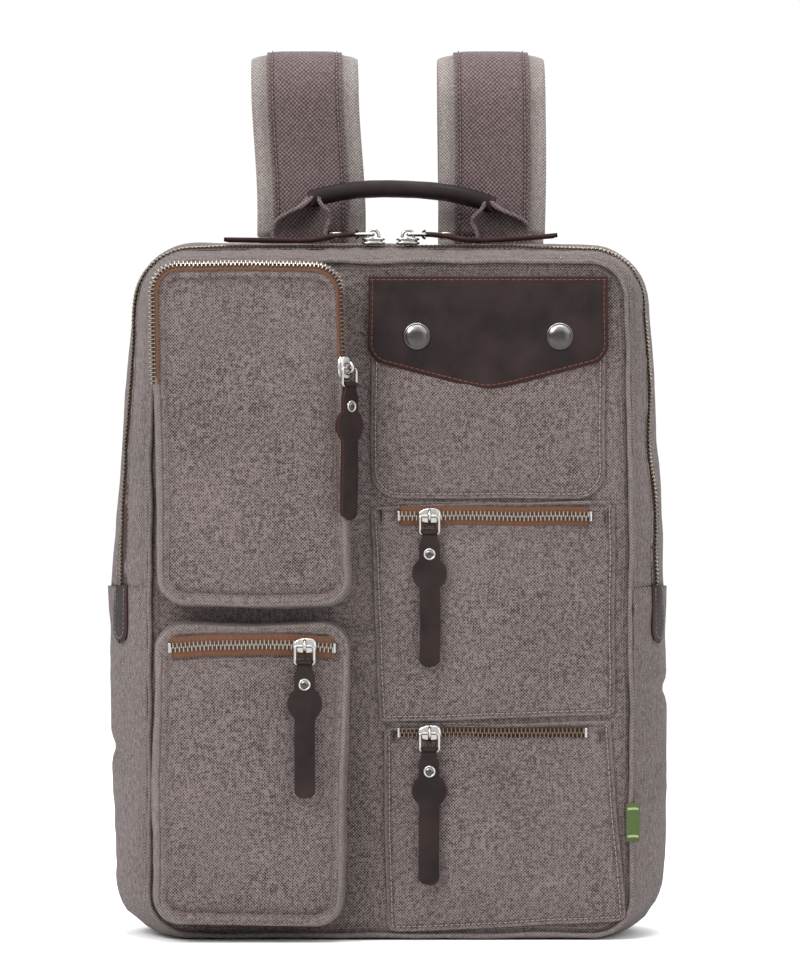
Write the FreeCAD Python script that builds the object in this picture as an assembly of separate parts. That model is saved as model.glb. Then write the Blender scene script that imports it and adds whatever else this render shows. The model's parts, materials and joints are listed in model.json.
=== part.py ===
# Travel backpack: a soft canvas body with gusseted and patch pockets, zips with leather
# pulls, a top handle and two shoulder straps.  Millimetres, +Z up, the front faces -Y,
# and the origin is the centre of the bottom that the bag stands on.
import FreeCAD
import Part
import math
import os
from FreeCAD import Vector, Placement, Rotation, Matrix

# ---- overall sizes -------------------------------------------------------------------
body_height = 441.0         # floor to the top of the belly outline
belly_width = 350.0
front_width = 306.0
zip_plane_width = 338.0
back_width = 320.0
front_depth = 60.0          # origin to the front panel's face
back_depth = 65.0           # origin to the back panel's face
belly_offset = 5.0          # the widest outline lies this far behind the origin
zip_offset = 25.0           # the main zip lies this far in front of the origin
front_drop = 12.0           # the front panel's top edge is lower than the belly
zip_drop = 3.0
back_drop = 5.0
front_lift = 1.5            # the front panel's lower edge is off the floor
floor_press = 0.4           # the soft bottom is pressed flat by this much where it stands
front_radius = 26.0
zip_radius = 34.0
belly_radius = 38.0
back_radius = 32.0

# ---- cloth, leather and fits ---------------------------------------------------------
canvas = 2.0                # canvas with its backing
lining = 0.8
lining_gap = 0.4
patch_canvas = 1.2
leather = 2.0
seam_gap = 0.5              # between pieces that move apart
fit = 0.3                   # running clearance of the metal pieces
piping_radius = 2.2

# ---- main zip ------------------------------------------------------------------------
zip_half_gap = 4.0          # centre line of a zip to the canvas on each side
zip_end_height = 222.0
tooth_reach = 1.8           # how far a row of teeth reaches from the centre line
tooth_proud = 1.2
tape_thickness = 0.8
tape_half_width = 5.0
patch_slider_start = 11.0   # patch zip end to the slider
lower_slider_start = 10.0
top_slider_start = 11.0     # each top slider's distance from the middle of the top
tab_width = 12.0
tab_length = 36.0
tab_reach = 2.5

# ---- pockets -------------------------------------------------------------------------
edge_margin = 6.0           # pockets stay this far inside the front panel's outline
pocket_gap = 12.0
left_column_width = 119.0
column_gap = 16.0
upper_pocket_depth = 30.0
lower_pocket_depth = 28.0
lower_pocket_height = 188.0
pocket_base_height = 11.0
pocket_bevel = 8.0
pocket_radius = 17.0
pocket_wall = 1.6
upper_zip_fall = 72.0       # the upper pocket's zip comes this far down each side
lower_zip_drop = 13.0       # zip centre below the lower pocket's top edge
low_patch_height = 131.0
low_patch_base = 6.0
middle_gap = 3.0
flap_patch_height = 139.0
flap_gap = 4.0
patch_radius = 18.0
patch_zip_drop = 8.0
low_zip_drop = 6.5

# ---- flap and snaps ------------------------------------------------------------------
flap_side_drop = 50.0
flap_point_drop = 71.0
flap_overhang = 2.0
snap_cap_radius = 8.5
snap_cap_height = 2.6
snap_stud_radius = 5.5
snap_spread = 90.0
snap_drop = 38.0

# ---- zip sliders and pulls -----------------------------------------------------------
slider_length = 15.0
slider_width = 10.0
slider_height = 4.2
bail_width = 2.2
bail_rise = 6.4
wire_radius = 1.0
stirrup_width = 14.0
stirrup_length = 12.6
pull_width = 13.0
pull_length = 95.0
pull_thickness = 2.4
pull_round_radius = 11.0
pull_round_drop = 36.0
rivet_drop = 24.0
rivet_head_radius = 3.6
rivet_shank_radius = 1.4

# ---- handle --------------------------------------------------------------------------
shoulder_shift = 7.0        # handle and straps are centred this far to the right
handle_span = 115.0
handle_rise = 34.0
handle_crown = 9.0
grip_radius = 5.0
handle_setback = 46.0
wing_width = 41.0
wing_thickness = 3.0
wing_top_width = 13.0
wing_top_thickness = 8.0

# ---- shoulder straps -----------------------------------------------------------------
strap_spacing = 118.0
strap_width = 68.0
strap_thickness = 8.0
strap_rise = 91.0           # top of the body to the start of the bend
strap_bend = 24.0           # inner radius of the bend
strap_webbing_width = 50.0
strap_webbing_thickness = 2.0
strap_end_height = 190.0
strap_end_inset = 12.0      # the strap's lower end leans back in by this much
root_length = 40.0
root_top = 8.5              # the sewn roots end this far above the body
yoke_thickness = 2.0
yoke_height = 46.0
lower_webbing_width = 25.0
lower_webbing_thickness = 1.6
anchor_half_spread = 125.0
anchor_height = 42.0
anchor_standoff = 10.0
wing_cloth = 3.0
buckle_length = 14.0
buckle_width = 33.0
buckle_height = 8.0
buckle_start = 9.0

# ---- inside and back -----------------------------------------------------------------
back_pad_thickness = 7.0
back_pad_width = 250.0
back_pad_radius = 28.0
back_pad_base = 62.0
board_thickness = 2.4
board_margin = 14.0
sleeve_height = 270.0
sleeve_width = 270.0
sleeve_space = 26.0
sleeve_thickness = 4.0
side_tag_height = 24.0
side_tag_reach = 7.0
side_tag_base = 62.0

# ---- places worked out from the sizes ------------------------------------------------
front_face = -front_depth
back_face = back_depth
zip_y = -zip_offset
front_half = front_width / 2
front_top = body_height - front_drop
left_column_left = -front_half + edge_margin
left_column_right = left_column_left + left_column_width
right_column_left = left_column_right + column_gap
right_column_right = front_half - 2 * edge_margin
lower_pocket_top = pocket_base_height + lower_pocket_height
upper_pocket_base = lower_pocket_top + pocket_gap
upper_pocket_top = front_top - edge_margin
low_patch_top = low_patch_base + low_patch_height
flap_patch_top = front_top - 2 * edge_margin
flap_patch_base = flap_patch_top - flap_patch_height
middle_base = low_patch_top + middle_gap
middle_top = flap_patch_base - middle_gap

nodes = {}


def keep(name, *solids):
    nodes[name] = list(solids)


def box(x0, x1, y0, y1, z0, z1):
    return Part.makeBox(x1 - x0, y1 - y0, z1 - z0, Vector(x0, y0, z0))


def rounded_wire(x0, x1, z0, z1, radius, y):
    """Rectangle with round corners in the plane of the given y."""
    k = radius * (1 - math.sqrt(0.5))
    r = radius
    p = [Vector(x0 + r, y, z0), Vector(x1 - r, y, z0), Vector(x1, y, z0 + r), Vector(x1, y, z1 - r),
         Vector(x1 - r, y, z1), Vector(x0 + r, y, z1), Vector(x0, y, z1 - r), Vector(x0, y, z0 + r)]
    middles = [Vector(x1 - k, y, z0 + k), Vector(x1 - k, y, z1 - k),
               Vector(x0 + k, y, z1 - k), Vector(x0 + k, y, z0 + k)]
    edges = []
    for i in range(4):
        start, end = p[2 * i], p[2 * i + 1]
        after = p[(2 * i + 2) % 8]
        edges.append(Part.LineSegment(start, end).toShape())
        edges.append(Part.Arc(end, middles[i], after).toShape())
    return Part.Wire(edges)


def rounded_plate(x0, x1, z0, z1, radius, y0, y1):
    face = Part.Face(rounded_wire(x0, x1, z0, z1, radius, y0))
    return face.extrude(Vector(0, y1 - y0, 0))


def loft(wires):
    return Part.makeLoft(wires, True, True)


def body_solid(grow, past=0.0):
    """The body's outer form, grown or shrunk, and run past its front and back by `past`."""
    outlines = [
        (front_face - past, front_width, front_lift, front_drop, front_radius),
        (zip_y, zip_plane_width, -floor_press, zip_drop, zip_radius),
        (belly_offset, belly_width, -floor_press, 0.0, belly_radius),
        (back_face + past, back_width, -floor_press, back_drop, back_radius)]
    wires = []
    for y, width, low, drop, radius in outlines:
        half = width / 2 + grow
        wires.append(rounded_wire(-half, half, low - grow, body_height - drop + grow, radius + grow, y))
    return loft(wires)


def tube_loop(x0, x1, z0, z1, radius, y, tube):
    """Round cord that follows a rounded rectangle."""
    path = rounded_wire(x0, x1, z0, z1, radius, y)
    circle = Part.makeCircle(tube, Vector((x0 + x1) / 2, y, z0), Vector(1, 0, 0))
    pipe = path.makePipeShell([Part.Wire(circle)], True, True)
    return pipe


# ---- body shell ----------------------------------------------------------------------
far = 400.0
over = 3.0
outer = body_solid(0.0).common(box(-far, far, -far, far, 0.0, 2 * far))
inner = body_solid(-canvas, over)
band = outer.cut(inner)
panel_inner_y = front_face + canvas

above = box(-far, far, -far, far, zip_end_height, body_height + over)
below = box(-far, far, -far, far, -over, zip_end_height)
rear_zone = box(-far, far, zip_y + zip_half_gap, back_face - canvas, -over, body_height + over)
front_zone = box(-far, far, panel_inner_y, zip_y - zip_half_gap, -over, body_height + over)
lower_zone = box(-far, far, panel_inner_y + seam_gap, back_face - canvas, -over, zip_end_height)
bottom_half = belly_width / 2 - belly_radius - 4.0

keep("rear_gusset", band.common(above).common(rear_zone))
keep("front_gusset", band.common(above).common(front_zone))
lower_band = band.common(lower_zone)
keep("lower_gusset_left", lower_band.common(box(-far, -bottom_half, -far, far, -over, far)))
keep("lower_gusset_right", lower_band.common(box(bottom_half, far, -far, far, -over, far)))
keep("bottom_panel", lower_band.common(box(-bottom_half, bottom_half, -far, far, -over, canvas + over)))

front_slab = box(-far, far, front_face, panel_inner_y, -over, body_height + over)
back_slab = box(-far, far, back_face - canvas, back_face, -over, body_height + over)
keep("front_panel", outer.common(front_slab))
keep("back_panel", outer.common(back_slab))

pipe_inset = piping_radius
keep("front_piping", tube_loop(-front_half + pipe_inset, front_half - pipe_inset,
                               front_lift + pipe_inset, front_top - pipe_inset,
                               front_radius - pipe_inset, front_face - piping_radius, piping_radius))
back_half = back_width / 2
keep("rear_piping", tube_loop(-back_half + pipe_inset, back_half - pipe_inset, pipe_inset + seam_gap,
                              body_height - back_drop - pipe_inset, back_radius - pipe_inset,
                              back_face + piping_radius, piping_radius))

# ---- main zip: tapes close the gap in the gusset, teeth stand proud of them ------------
tape_band = outer.cut(body_solid(-tape_thickness, over)).common(above)
tooth_band = body_solid(tooth_proud, over).cut(outer).common(above)
half_seam = seam_gap / 2


def slab_y(y0, y1):
    return box(-far, far, y0, y1, -over, body_height + 2 * over)


keep("rear_zip_tape", tape_band.common(slab_y(zip_y + half_seam, zip_y + zip_half_gap)))
keep("front_zip_tape", tape_band.common(slab_y(zip_y - zip_half_gap, zip_y - half_seam)))
rear_teeth = tooth_band.common(slab_y(zip_y + half_seam, zip_y + tooth_reach))
front_teeth = tooth_band.common(slab_y(zip_y - tooth_reach, zip_y - half_seam))
keep("rear_zip_teeth", rear_teeth)
keep("front_zip_teeth", front_teeth)


def end_tab(side):
    """Leather tab that covers a lower end of the main zip, against the side gusset."""
    half_at_zip = zip_plane_width / 2
    x0 = half_at_zip + 1.0
    top = zip_end_height - 1.0
    tab = rounded_plate(-tab_width / 2, tab_width / 2, top - tab_length, top, tab_width / 2 - 0.5,
                        0, tab_reach)
    turn = Placement(Vector(side * x0, zip_y, 0), Rotation(Vector(0, 0, 1), side * -90))
    tab.Placement = turn
    return tab.cut(outer)


keep("zip_end_tabs", end_tab(-1), end_tab(1))

# ---- gusseted pockets ----------------------------------------------------------------
def pocket_solid(x0, x1, z0, z1, depth, grow, past=0.0):
    """Box pocket on the front panel whose face is bevelled all round."""
    y_edge = front_face - depth + pocket_bevel
    y_face = front_face - depth - grow
    b = pocket_bevel
    wires = [
        rounded_wire(x0 - grow, x1 + grow, z0 - grow, z1 + grow, pocket_radius + grow, front_face + past),
        rounded_wire(x0 - grow, x1 + grow, z0 - grow, z1 + grow, pocket_radius + grow, y_edge),
        rounded_wire(x0 - grow + b, x1 + grow - b, z0 - grow + b, z1 + grow - b,
                     pocket_radius + grow - b, y_face)]
    return loft(wires)


def upper_form(grow, past=0.0):
    return pocket_solid(left_column_left, left_column_right, upper_pocket_base, upper_pocket_top,
                        upper_pocket_depth, grow, past)


def lower_form(grow, past=0.0):
    return pocket_solid(left_column_left, left_column_right, pocket_base_height, lower_pocket_top,
                        lower_pocket_depth, grow, past)


upper_outer = upper_form(0.0)
keep("upper_pocket", upper_outer.cut(upper_form(-pocket_wall, over)))
lower_outer = lower_form(0.0)
keep("lower_pocket", lower_outer.cut(lower_form(-pocket_wall, over)))

upper_zip_end = upper_pocket_top - upper_zip_fall
upper_bevel_y0 = front_face - upper_pocket_depth + 1.2
upper_bevel_y1 = front_face - upper_pocket_depth + pocket_bevel - 1.2
bevel_mid = (upper_bevel_y0 + upper_bevel_y1) / 2
zip_side = box(-far, far, -far, far, upper_zip_end, far * 2)
upper_tape = upper_form(tape_thickness).cut(upper_outer).common(zip_side)
upper_tape = upper_tape.common(slab_y(upper_bevel_y0, upper_bevel_y1))
upper_teeth = upper_form(tape_thickness + tooth_proud).cut(upper_form(tape_thickness)).common(zip_side)
upper_teeth = upper_teeth.common(slab_y(bevel_mid - tooth_reach / 2, bevel_mid + tooth_reach / 2))

lower_zip_z = lower_pocket_top - lower_zip_drop
lower_face = front_face - lower_pocket_depth
middle_zip_z = middle_top - patch_zip_drop
patch_face = front_face - patch_canvas
low_zip_z = low_patch_top - low_zip_drop


def flat_zip(x0, x1, z, y):
    """Tape and teeth of a straight zip sewn on a face that looks forward."""
    tape = box(x0, x1, y - tape_thickness, y, z - tape_half_width, z + tape_half_width)
    tooth_y = y - tape_thickness
    teeth = box(x0 + 2, x1 - 2, tooth_y - tooth_proud, tooth_y, z - tooth_reach, z + tooth_reach)
    return tape, teeth


lower_zip_left = left_column_left + pocket_bevel
lower_zip_right = left_column_right - pocket_bevel
lower_tape, lower_teeth = flat_zip(lower_zip_left, lower_zip_right, lower_zip_z, lower_face)
middle_tape, middle_teeth = flat_zip(right_column_left + patch_radius, right_column_right - patch_radius,
                                     middle_zip_z, patch_face)
low_tape, low_teeth = flat_zip(right_column_left + patch_radius, right_column_right - patch_radius,
                               low_zip_z, patch_face)
keep("pocket_zip_tapes", upper_tape, lower_tape, middle_tape, low_tape)
keep("pocket_zip_teeth", upper_teeth, lower_teeth, middle_teeth, low_teeth)

# ---- flat pockets ----------------------------------------------------------------------
def patch(z0, z1, right):
    return rounded_plate(right_column_left, right, z0, z1, patch_radius, patch_face, front_face)


keep("flap_pocket_patch", patch(flap_patch_base, flap_patch_top, right_column_right - edge_margin))
keep("middle_pocket_patch", patch(middle_base, middle_top, right_column_right))
keep("low_pocket_patch", patch(low_patch_base, low_patch_top, right_column_right + edge_margin / 2))

# ---- leather flap with its snaps -------------------------------------------------------
flap_left = right_column_left - flap_overhang
flap_right = right_column_right - edge_margin + flap_overhang
flap_centre = (flap_left + flap_right) / 2
flap_top = flap_patch_top + 1.0
flap_inner_y = patch_face - flap_gap / 2
flap_outer_y = flap_inner_y - leather
shoulder = flap_top - flap_side_drop
point = flap_top - flap_point_drop
corner = 9.0
tip = 14.0
tip_rise = (flap_point_drop - flap_side_drop) * tip / (flap_centre - flap_left)


def flap_wire(y):
    a = Vector(flap_left, y, flap_top)
    b = Vector(flap_left, y, shoulder + corner)
    c = Vector(flap_left + corner * 0.35, y, shoulder - corner * 0.05)
    d = Vector(flap_left + corner * 1.3, y, shoulder - corner * 0.45)
    e = Vector(flap_centre - tip, y, point + tip_rise)
    f = Vector(flap_centre, y, point)
    mirror = []
    for v in (e, d, c, b, a):
        mirror.append(Vector(2 * flap_centre - v.x, y, v.z))
    e2, d2, c2, b2, a2 = mirror
    edges = [Part.LineSegment(a, b).toShape(), Part.Arc(b, c, d).toShape(),
             Part.LineSegment(d, e).toShape(), Part.Arc(e, f, e2).toShape(),
             Part.LineSegment(e2, d2).toShape(), Part.Arc(d2, c2, b2).toShape(),
             Part.LineSegment(b2, a2).toShape(), Part.LineSegment(a2, a).toShape()]
    return Part.Wire(edges)


keep("flap", Part.Face(flap_wire(flap_inner_y)).extrude(Vector(0, -leather, 0)))
snap_z = flap_top - snap_drop
caps = []
studs = []
for snap_x in (flap_centre - snap_spread / 2, flap_centre + snap_spread / 2):
    cap = Part.makeCone(snap_cap_radius, snap_cap_radius * 0.6, snap_cap_height,
                        Vector(snap_x, flap_outer_y, snap_z), Vector(0, -1, 0))
    caps.append(cap)
    stud = Part.makeCylinder(snap_stud_radius, flap_gap / 2 - fit,
                             Vector(snap_x, patch_face, snap_z), Vector(0, -1, 0))
    studs.append(stud)
keep("snap_caps", *caps)
keep("snap_studs", *studs)

# ---- side tag sewn in at the piping ----------------------------------------------------
tag_x = front_half - piping_radius
keep("side_tag", box(tag_x, tag_x + side_tag_reach, front_face - 2 * piping_radius - 1.2,
                     front_face - 2 * piping_radius, side_tag_base, side_tag_base + side_tag_height))

# ---- zip sliders -----------------------------------------------------------------------
# A slider is made lying on a face that looks along -Y, with its zip along X.  Its bail is an
# arch that the pull's top bar runs through.


def slider_solid(bar_across):
    """`bar_across` turns the bail so that the pull's bar lies across the zip."""
    base = rounded_plate(-slider_length / 2, slider_length / 2, -slider_width / 2, slider_width / 2,
                         slider_width * 0.35, -slider_height, 0)
    arch = box(-bail_width / 2, bail_width / 2, -slider_height - bail_rise, -slider_height + 1.0, -4.4, 4.4)
    hole = box(-bail_width, bail_width, -slider_height - bail_rise + bail_width, -slider_height, -2.3, 2.3)
    bail = arch.cut(hole)
    if bar_across:
        bail.rotate(Vector(0, 0, 0), Vector(0, 1, 0), 90)
    return base.fuse(bail).removeSplitter()


bar_y = -(slider_height + (bail_rise - bail_width) / 2)


def pull_solids():
    """Stirrup with rivet, and the leather, hung from a bar whose centre is the origin."""
    half = stirrup_width / 2 - wire_radius
    outline = rounded_plate(-half - wire_radius, half + wire_radius, -stirrup_length, wire_radius,
                            2.0, -wire_radius, wire_radius)
    hole = rounded_plate(-half + wire_radius, half - wire_radius, -stirrup_length + 2 * wire_radius,
                         -wire_radius, 0.8, -2 * wire_radius, 2 * wire_radius)
    stirrup = outline.cut(hole)
    strip_half = stirrup_width / 2 - 2 * wire_radius - 0.8
    bar_z = -stirrup_length + wire_radius
    fold_radius = wire_radius * math.sqrt(2) + fit
    strip_top = bar_z + fold_radius + 1.4
    strip = box(-strip_half, strip_half, -pull_thickness / 2, pull_thickness / 2, -rivet_drop, strip_top)
    fold = Part.makeCylinder(fold_radius + 1.4, 2 * strip_half, Vector(-strip_half, 0, bar_z), Vector(1, 0, 0))
    tail = rounded_plate(-pull_width / 2, pull_width / 2, -pull_length, -rivet_drop + pull_width / 2 + 1,
                         pull_width / 2 - 0.4, -pull_thickness / 2, pull_thickness / 2)
    wide = Part.makeCylinder(pull_round_radius, pull_thickness,
                             Vector(0, -pull_thickness / 2, -pull_round_drop), Vector(0, 1, 0))
    leather_piece = strip.fuse(fold).fuse(tail).fuse(wide)
    bore = Part.makeCylinder(fold_radius, 4 * pull_width, Vector(-2 * pull_width, 0, bar_z), Vector(1, 0, 0))
    rivet_base = Vector(0, -pull_thickness / 2, -rivet_drop)
    rivet_hole = Part.makeCylinder(rivet_shank_radius + 0.05, 3 * pull_thickness,
                                   Vector(0, -pull_thickness * 1.5, -rivet_drop), Vector(0, 1, 0))
    leather_piece = leather_piece.cut(bore).cut(rivet_hole).removeSplitter()
    head = Part.makeCone(rivet_head_radius, rivet_head_radius * 0.6, 1.4, rivet_base, Vector(0, -1, 0))
    shank = Part.makeCylinder(rivet_shank_radius, pull_thickness, rivet_base, Vector(0, 1, 0))
    foot = Part.makeCylinder(rivet_head_radius * 0.8, 0.8, Vector(0, pull_thickness / 2, -rivet_drop),
                             Vector(0, 1, 0))
    rivet = head.fuse(shank).fuse(foot).removeSplitter()
    return stirrup, rivet, leather_piece


def place(shape, columns, at):
    """Turn a shape so that its X, Y and Z lie along three given directions, and move it."""
    x, y, z = columns
    matrix = Matrix(x[0], y[0], z[0], at[0], x[1], y[1], z[1], at[1], x[2], y[2], z[2], at[2], 0, 0, 0, 1)
    moved = shape.copy()
    moved.Placement = Placement(matrix)
    return moved


def unit_frame(turn):
    """Directions of a frame that is turned about Z by an angle in degrees."""
    a = math.radians(turn)
    return ((math.cos(a), math.sin(a), 0), (-math.sin(a), math.cos(a), 0), (0, 0, 1))


def add_zip_puller(name, slider_frame, pull_frame, foot, bar_across=False):
    """Slider on its zip at `foot`, and its pull on the bail.  Y of both frames points inwards."""
    keep(name + "_slider", place(slider_solid(bar_across), slider_frame, foot))
    inward = slider_frame[1]
    hang = [foot[i] + inward[i] * bar_y for i in range(3)]
    stirrup, rivet, leather_piece = pull_solids()
    keep(name + "_pull_metal", place(stirrup, pull_frame, hang), place(rivet, pull_frame, hang))
    keep(name + "_pull", place(leather_piece, pull_frame, hang))
    return hang


zip_stand = tape_thickness + tooth_proud + fit
flat = unit_frame(0)
pivots = {}
slider_x = lower_zip_right - slider_length / 2 - lower_slider_start
pivots["lower_zip"] = add_zip_puller("lower_zip", flat, flat,
                                     (slider_x, lower_face - zip_stand, lower_zip_z))
middle_slider_x = right_column_left + patch_radius + slider_length / 2 + patch_slider_start
pivots["middle_zip"] = add_zip_puller("middle_zip", flat, flat,
                                      (middle_slider_x, patch_face - zip_stand, middle_zip_z))
pivots["low_zip"] = add_zip_puller("low_zip", flat, flat,
                                   (middle_slider_x, patch_face - zip_stand, low_zip_z))

# the upper pocket's slider stands on the bevel of its right side, with its zip along Z
bevel_turn = 45.0
a = math.radians(bevel_turn)
outward = Vector(math.sin(a), -math.cos(a), 0)
bevel_centre = Vector(left_column_right - pocket_bevel / 2, front_face - upper_pocket_depth + pocket_bevel / 2, 0)
upper_foot = bevel_centre + outward * (zip_stand + 0.6)
upper_slider_z = upper_zip_end + slider_length / 2 + 1.0
slider_upright = ((0, 0, 1), (-outward.x, -outward.y, 0), (outward.y, -outward.x, 0))
upper_pull_frame = unit_frame(bevel_turn)
pivots["upper_zip"] = add_zip_puller("upper_zip", slider_upright, upper_pull_frame,
                                     (upper_foot.x, upper_foot.y, upper_slider_z), True)

# the two top sliders meet in the middle of the top, with their pulls lying outwards
top_at_zip = body_height - zip_drop
top_foot_z = top_at_zip + tooth_proud + fit
for side, name in ((-1, "left_top_zip"), (1, "right_top_zip")):
    top_frame = ((0, side * 1, 0), (0, 0, -1), (-side, 0, 0))
    slider_frame = ((-side, 0, 0), (0, 0, -1), (0, -side, 0))
    pivots[name] = add_zip_puller(name, slider_frame, top_frame,
                                  (side * top_slider_start, zip_y, top_foot_z), True)

# ---- handle ----------------------------------------------------------------------------
handle_y = handle_setback
handle_base = body_height - 0.5
grip_end_z = body_height + handle_rise - 6.0
grip_crown_z = grip_end_z + handle_crown
grip_left = shoulder_shift - handle_span / 2
grip_right = shoulder_shift + handle_span / 2
grip_path = Part.Arc(Vector(grip_left, handle_y, grip_end_z), Vector(shoulder_shift, handle_y, grip_crown_z),
                     Vector(grip_right, handle_y, grip_end_z))
start_tangent = grip_path.tangent(grip_path.FirstParameter)[0]
grip_ring = Part.Wire(Part.makeCircle(grip_radius, Vector(grip_left, handle_y, grip_end_z), start_tangent))
grip = Part.Wire(grip_path.toShape()).makePipeShell([grip_ring], True, True)
keep("handle_grip", grip)


def handle_wing(side):
    """Webbing end that flares from the grip down to the top of the bag."""
    end_x = shoulder_shift + side * (handle_span / 2 - 5.0)
    base_x = end_x + side * 10.0
    half_t = wing_thickness / 2
    half_top = wing_top_thickness / 2
    low = Part.makePolygon([
        Vector(base_x - wing_width / 2, handle_y - half_t, handle_base),
        Vector(base_x + wing_width / 2, handle_y - half_t, handle_base),
        Vector(base_x + wing_width / 2, handle_y + half_t, handle_base),
        Vector(base_x - wing_width / 2, handle_y + half_t, handle_base),
        Vector(base_x - wing_width / 2, handle_y - half_t, handle_base)])
    high = Part.makePolygon([
        Vector(end_x - wing_top_width / 2, handle_y - half_top, grip_end_z + 1.0),
        Vector(end_x + wing_top_width / 2, handle_y - half_top, grip_end_z + 1.0),
        Vector(end_x + wing_top_width / 2, handle_y + half_top, grip_end_z + 1.0),
        Vector(end_x - wing_top_width / 2, handle_y + half_top, grip_end_z + 1.0),
        Vector(end_x - wing_top_width / 2, handle_y - half_top, grip_end_z + 1.0)])
    return loft([low, high]).cut(grip)


keep("handle_webbing", handle_wing(-1), handle_wing(1))

# ---- shoulder straps -------------------------------------------------------------------
strap_front = back_face + yoke_thickness
bend_base = body_height + strap_rise
split_z = body_height + root_top
strap_end_y = strap_front + 2 * strap_bend + 2 * strap_thickness - strap_end_inset


def strap_profile(front, thickness, end_z):
    """Side view of a strap layer: up, over the bend and down behind the back."""
    bend_y = strap_front + strap_thickness + strap_bend
    outer_r = bend_y - front
    inner_r = outer_r - thickness
    lean = strap_end_inset * (bend_base - end_z) / (bend_base - strap_end_height)
    a = Vector(0, front, split_z)
    b = Vector(0, front, bend_base)
    c = Vector(0, bend_y, bend_base + outer_r)
    d = Vector(0, bend_y + outer_r, bend_base)
    e = Vector(0, bend_y + outer_r - lean, end_z)
    f = Vector(0, bend_y + inner_r - lean, end_z)
    g = Vector(0, bend_y + inner_r, bend_base)
    h = Vector(0, bend_y, bend_base + inner_r)
    i = Vector(0, front + thickness, bend_base)
    j = Vector(0, front + thickness, split_z)
    edges = [Part.LineSegment(a, b).toShape(), Part.Arc(b, c, d).toShape(), Part.LineSegment(d, e).toShape(),
             Part.LineSegment(e, f).toShape(), Part.LineSegment(f, g).toShape(), Part.Arc(g, h, i).toShape(),
             Part.LineSegment(i, j).toShape(), Part.LineSegment(j, a).toShape()]
    return Part.Wire(edges)


def strap_layer(front, thickness, width, centre, end_z):
    face = Part.Face(strap_profile(front, thickness, end_z))
    layer = face.extrude(Vector(width, 0, 0))
    layer.translate(Vector(centre - width / 2, 0, 0))
    return layer


roots = []
for side, name in ((-1, "left"), (1, "right")):
    centre = shoulder_shift + side * strap_spacing / 2
    keep(name + "_strap", strap_layer(strap_front, strap_thickness, strap_width, centre, strap_end_height))
    keep(name + "_strap_webbing", strap_layer(strap_front - strap_webbing_thickness, strap_webbing_thickness,
                                              strap_webbing_width, centre, strap_end_height + 12.0))
    root = rounded_plate(centre - strap_width / 2, centre + strap_width / 2,
                         split_z - seam_gap - root_length, split_z - seam_gap, 3.0,
                         strap_front, strap_front + strap_thickness)
    roots.append(root.cut(nodes["rear_piping"][0]))
    # webbing from the strap's lower end to the wing in the lower corner
    top = Vector(centre, strap_end_y - strap_thickness / 2, strap_end_height)
    foot = Vector(side * anchor_half_spread, back_face + anchor_standoff, anchor_height)
    run = foot - top
    turn = Rotation(Vector(0, 0, -1), run)
    strip = box(-lower_webbing_width / 2, lower_webbing_width / 2, -lower_webbing_thickness / 2,
                lower_webbing_thickness / 2, -run.Length, -1.0)
    strip.Placement = Placement(top, turn)
    strip = strip.cut(nodes[name + "_strap"][0])
    keep(name + "_lower_webbing", strip)
    frame = box(-buckle_width / 2, buckle_width / 2, -buckle_height / 2, buckle_height / 2,
                -buckle_start - buckle_length, -buckle_start)
    window = box(-lower_webbing_width / 2 - 0.5, lower_webbing_width / 2 + 0.5,
                 -lower_webbing_thickness / 2 - 0.5, lower_webbing_thickness / 2 + 0.5,
                 -buckle_start - 2 * buckle_length, 0)
    buckle = frame.cut(window)
    buckle.Placement = Placement(top, turn)
    keep(name + "_adjuster", buckle)
    print(name, "strap axis from", (centre, strap_front + strap_thickness / 2, split_z), "to", tuple(foot),
          "adjuster run", tuple(run.normalize()))
yoke_half = strap_spacing / 2 + strap_width / 2 + 6.0
yoke = box(shoulder_shift - yoke_half, shoulder_shift + yoke_half, back_face,
           back_face + yoke_thickness, body_height - back_drop - 2 * pipe_inset - 1.0 - yoke_height,
           body_height - back_drop - 2 * pipe_inset - 1.0)
keep("strap_yoke", yoke, *roots)

wings = []
inset = 2 * piping_radius + seam_gap
inside_piping = rounded_plate(-back_half + inset, back_half - inset, inset + seam_gap,
                              body_height - back_drop - inset, back_radius - inset, back_face, back_face + wing_cloth)
for side in (-1, 1):
    outer_x = side * (back_half - 2 * piping_radius - 1.0)
    inner_x = side * (anchor_half_spread - lower_webbing_width / 2 - 2.0)
    y = back_face
    wing_low = 2 * piping_radius + 6.0
    corner_points = [Vector(outer_x, y, wing_low), Vector(inner_x + side * 8.0, y, wing_low),
                     Vector(inner_x, y, anchor_height + 10.0), Vector(outer_x, y, anchor_height + 30.0),
                     Vector(outer_x, y, wing_low)]
    wing = Part.Face(Part.makePolygon(corner_points)).extrude(Vector(0, wing_cloth, 0))
    wings.append(wing.common(inside_piping))
keep("strap_wings", *wings)

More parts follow.
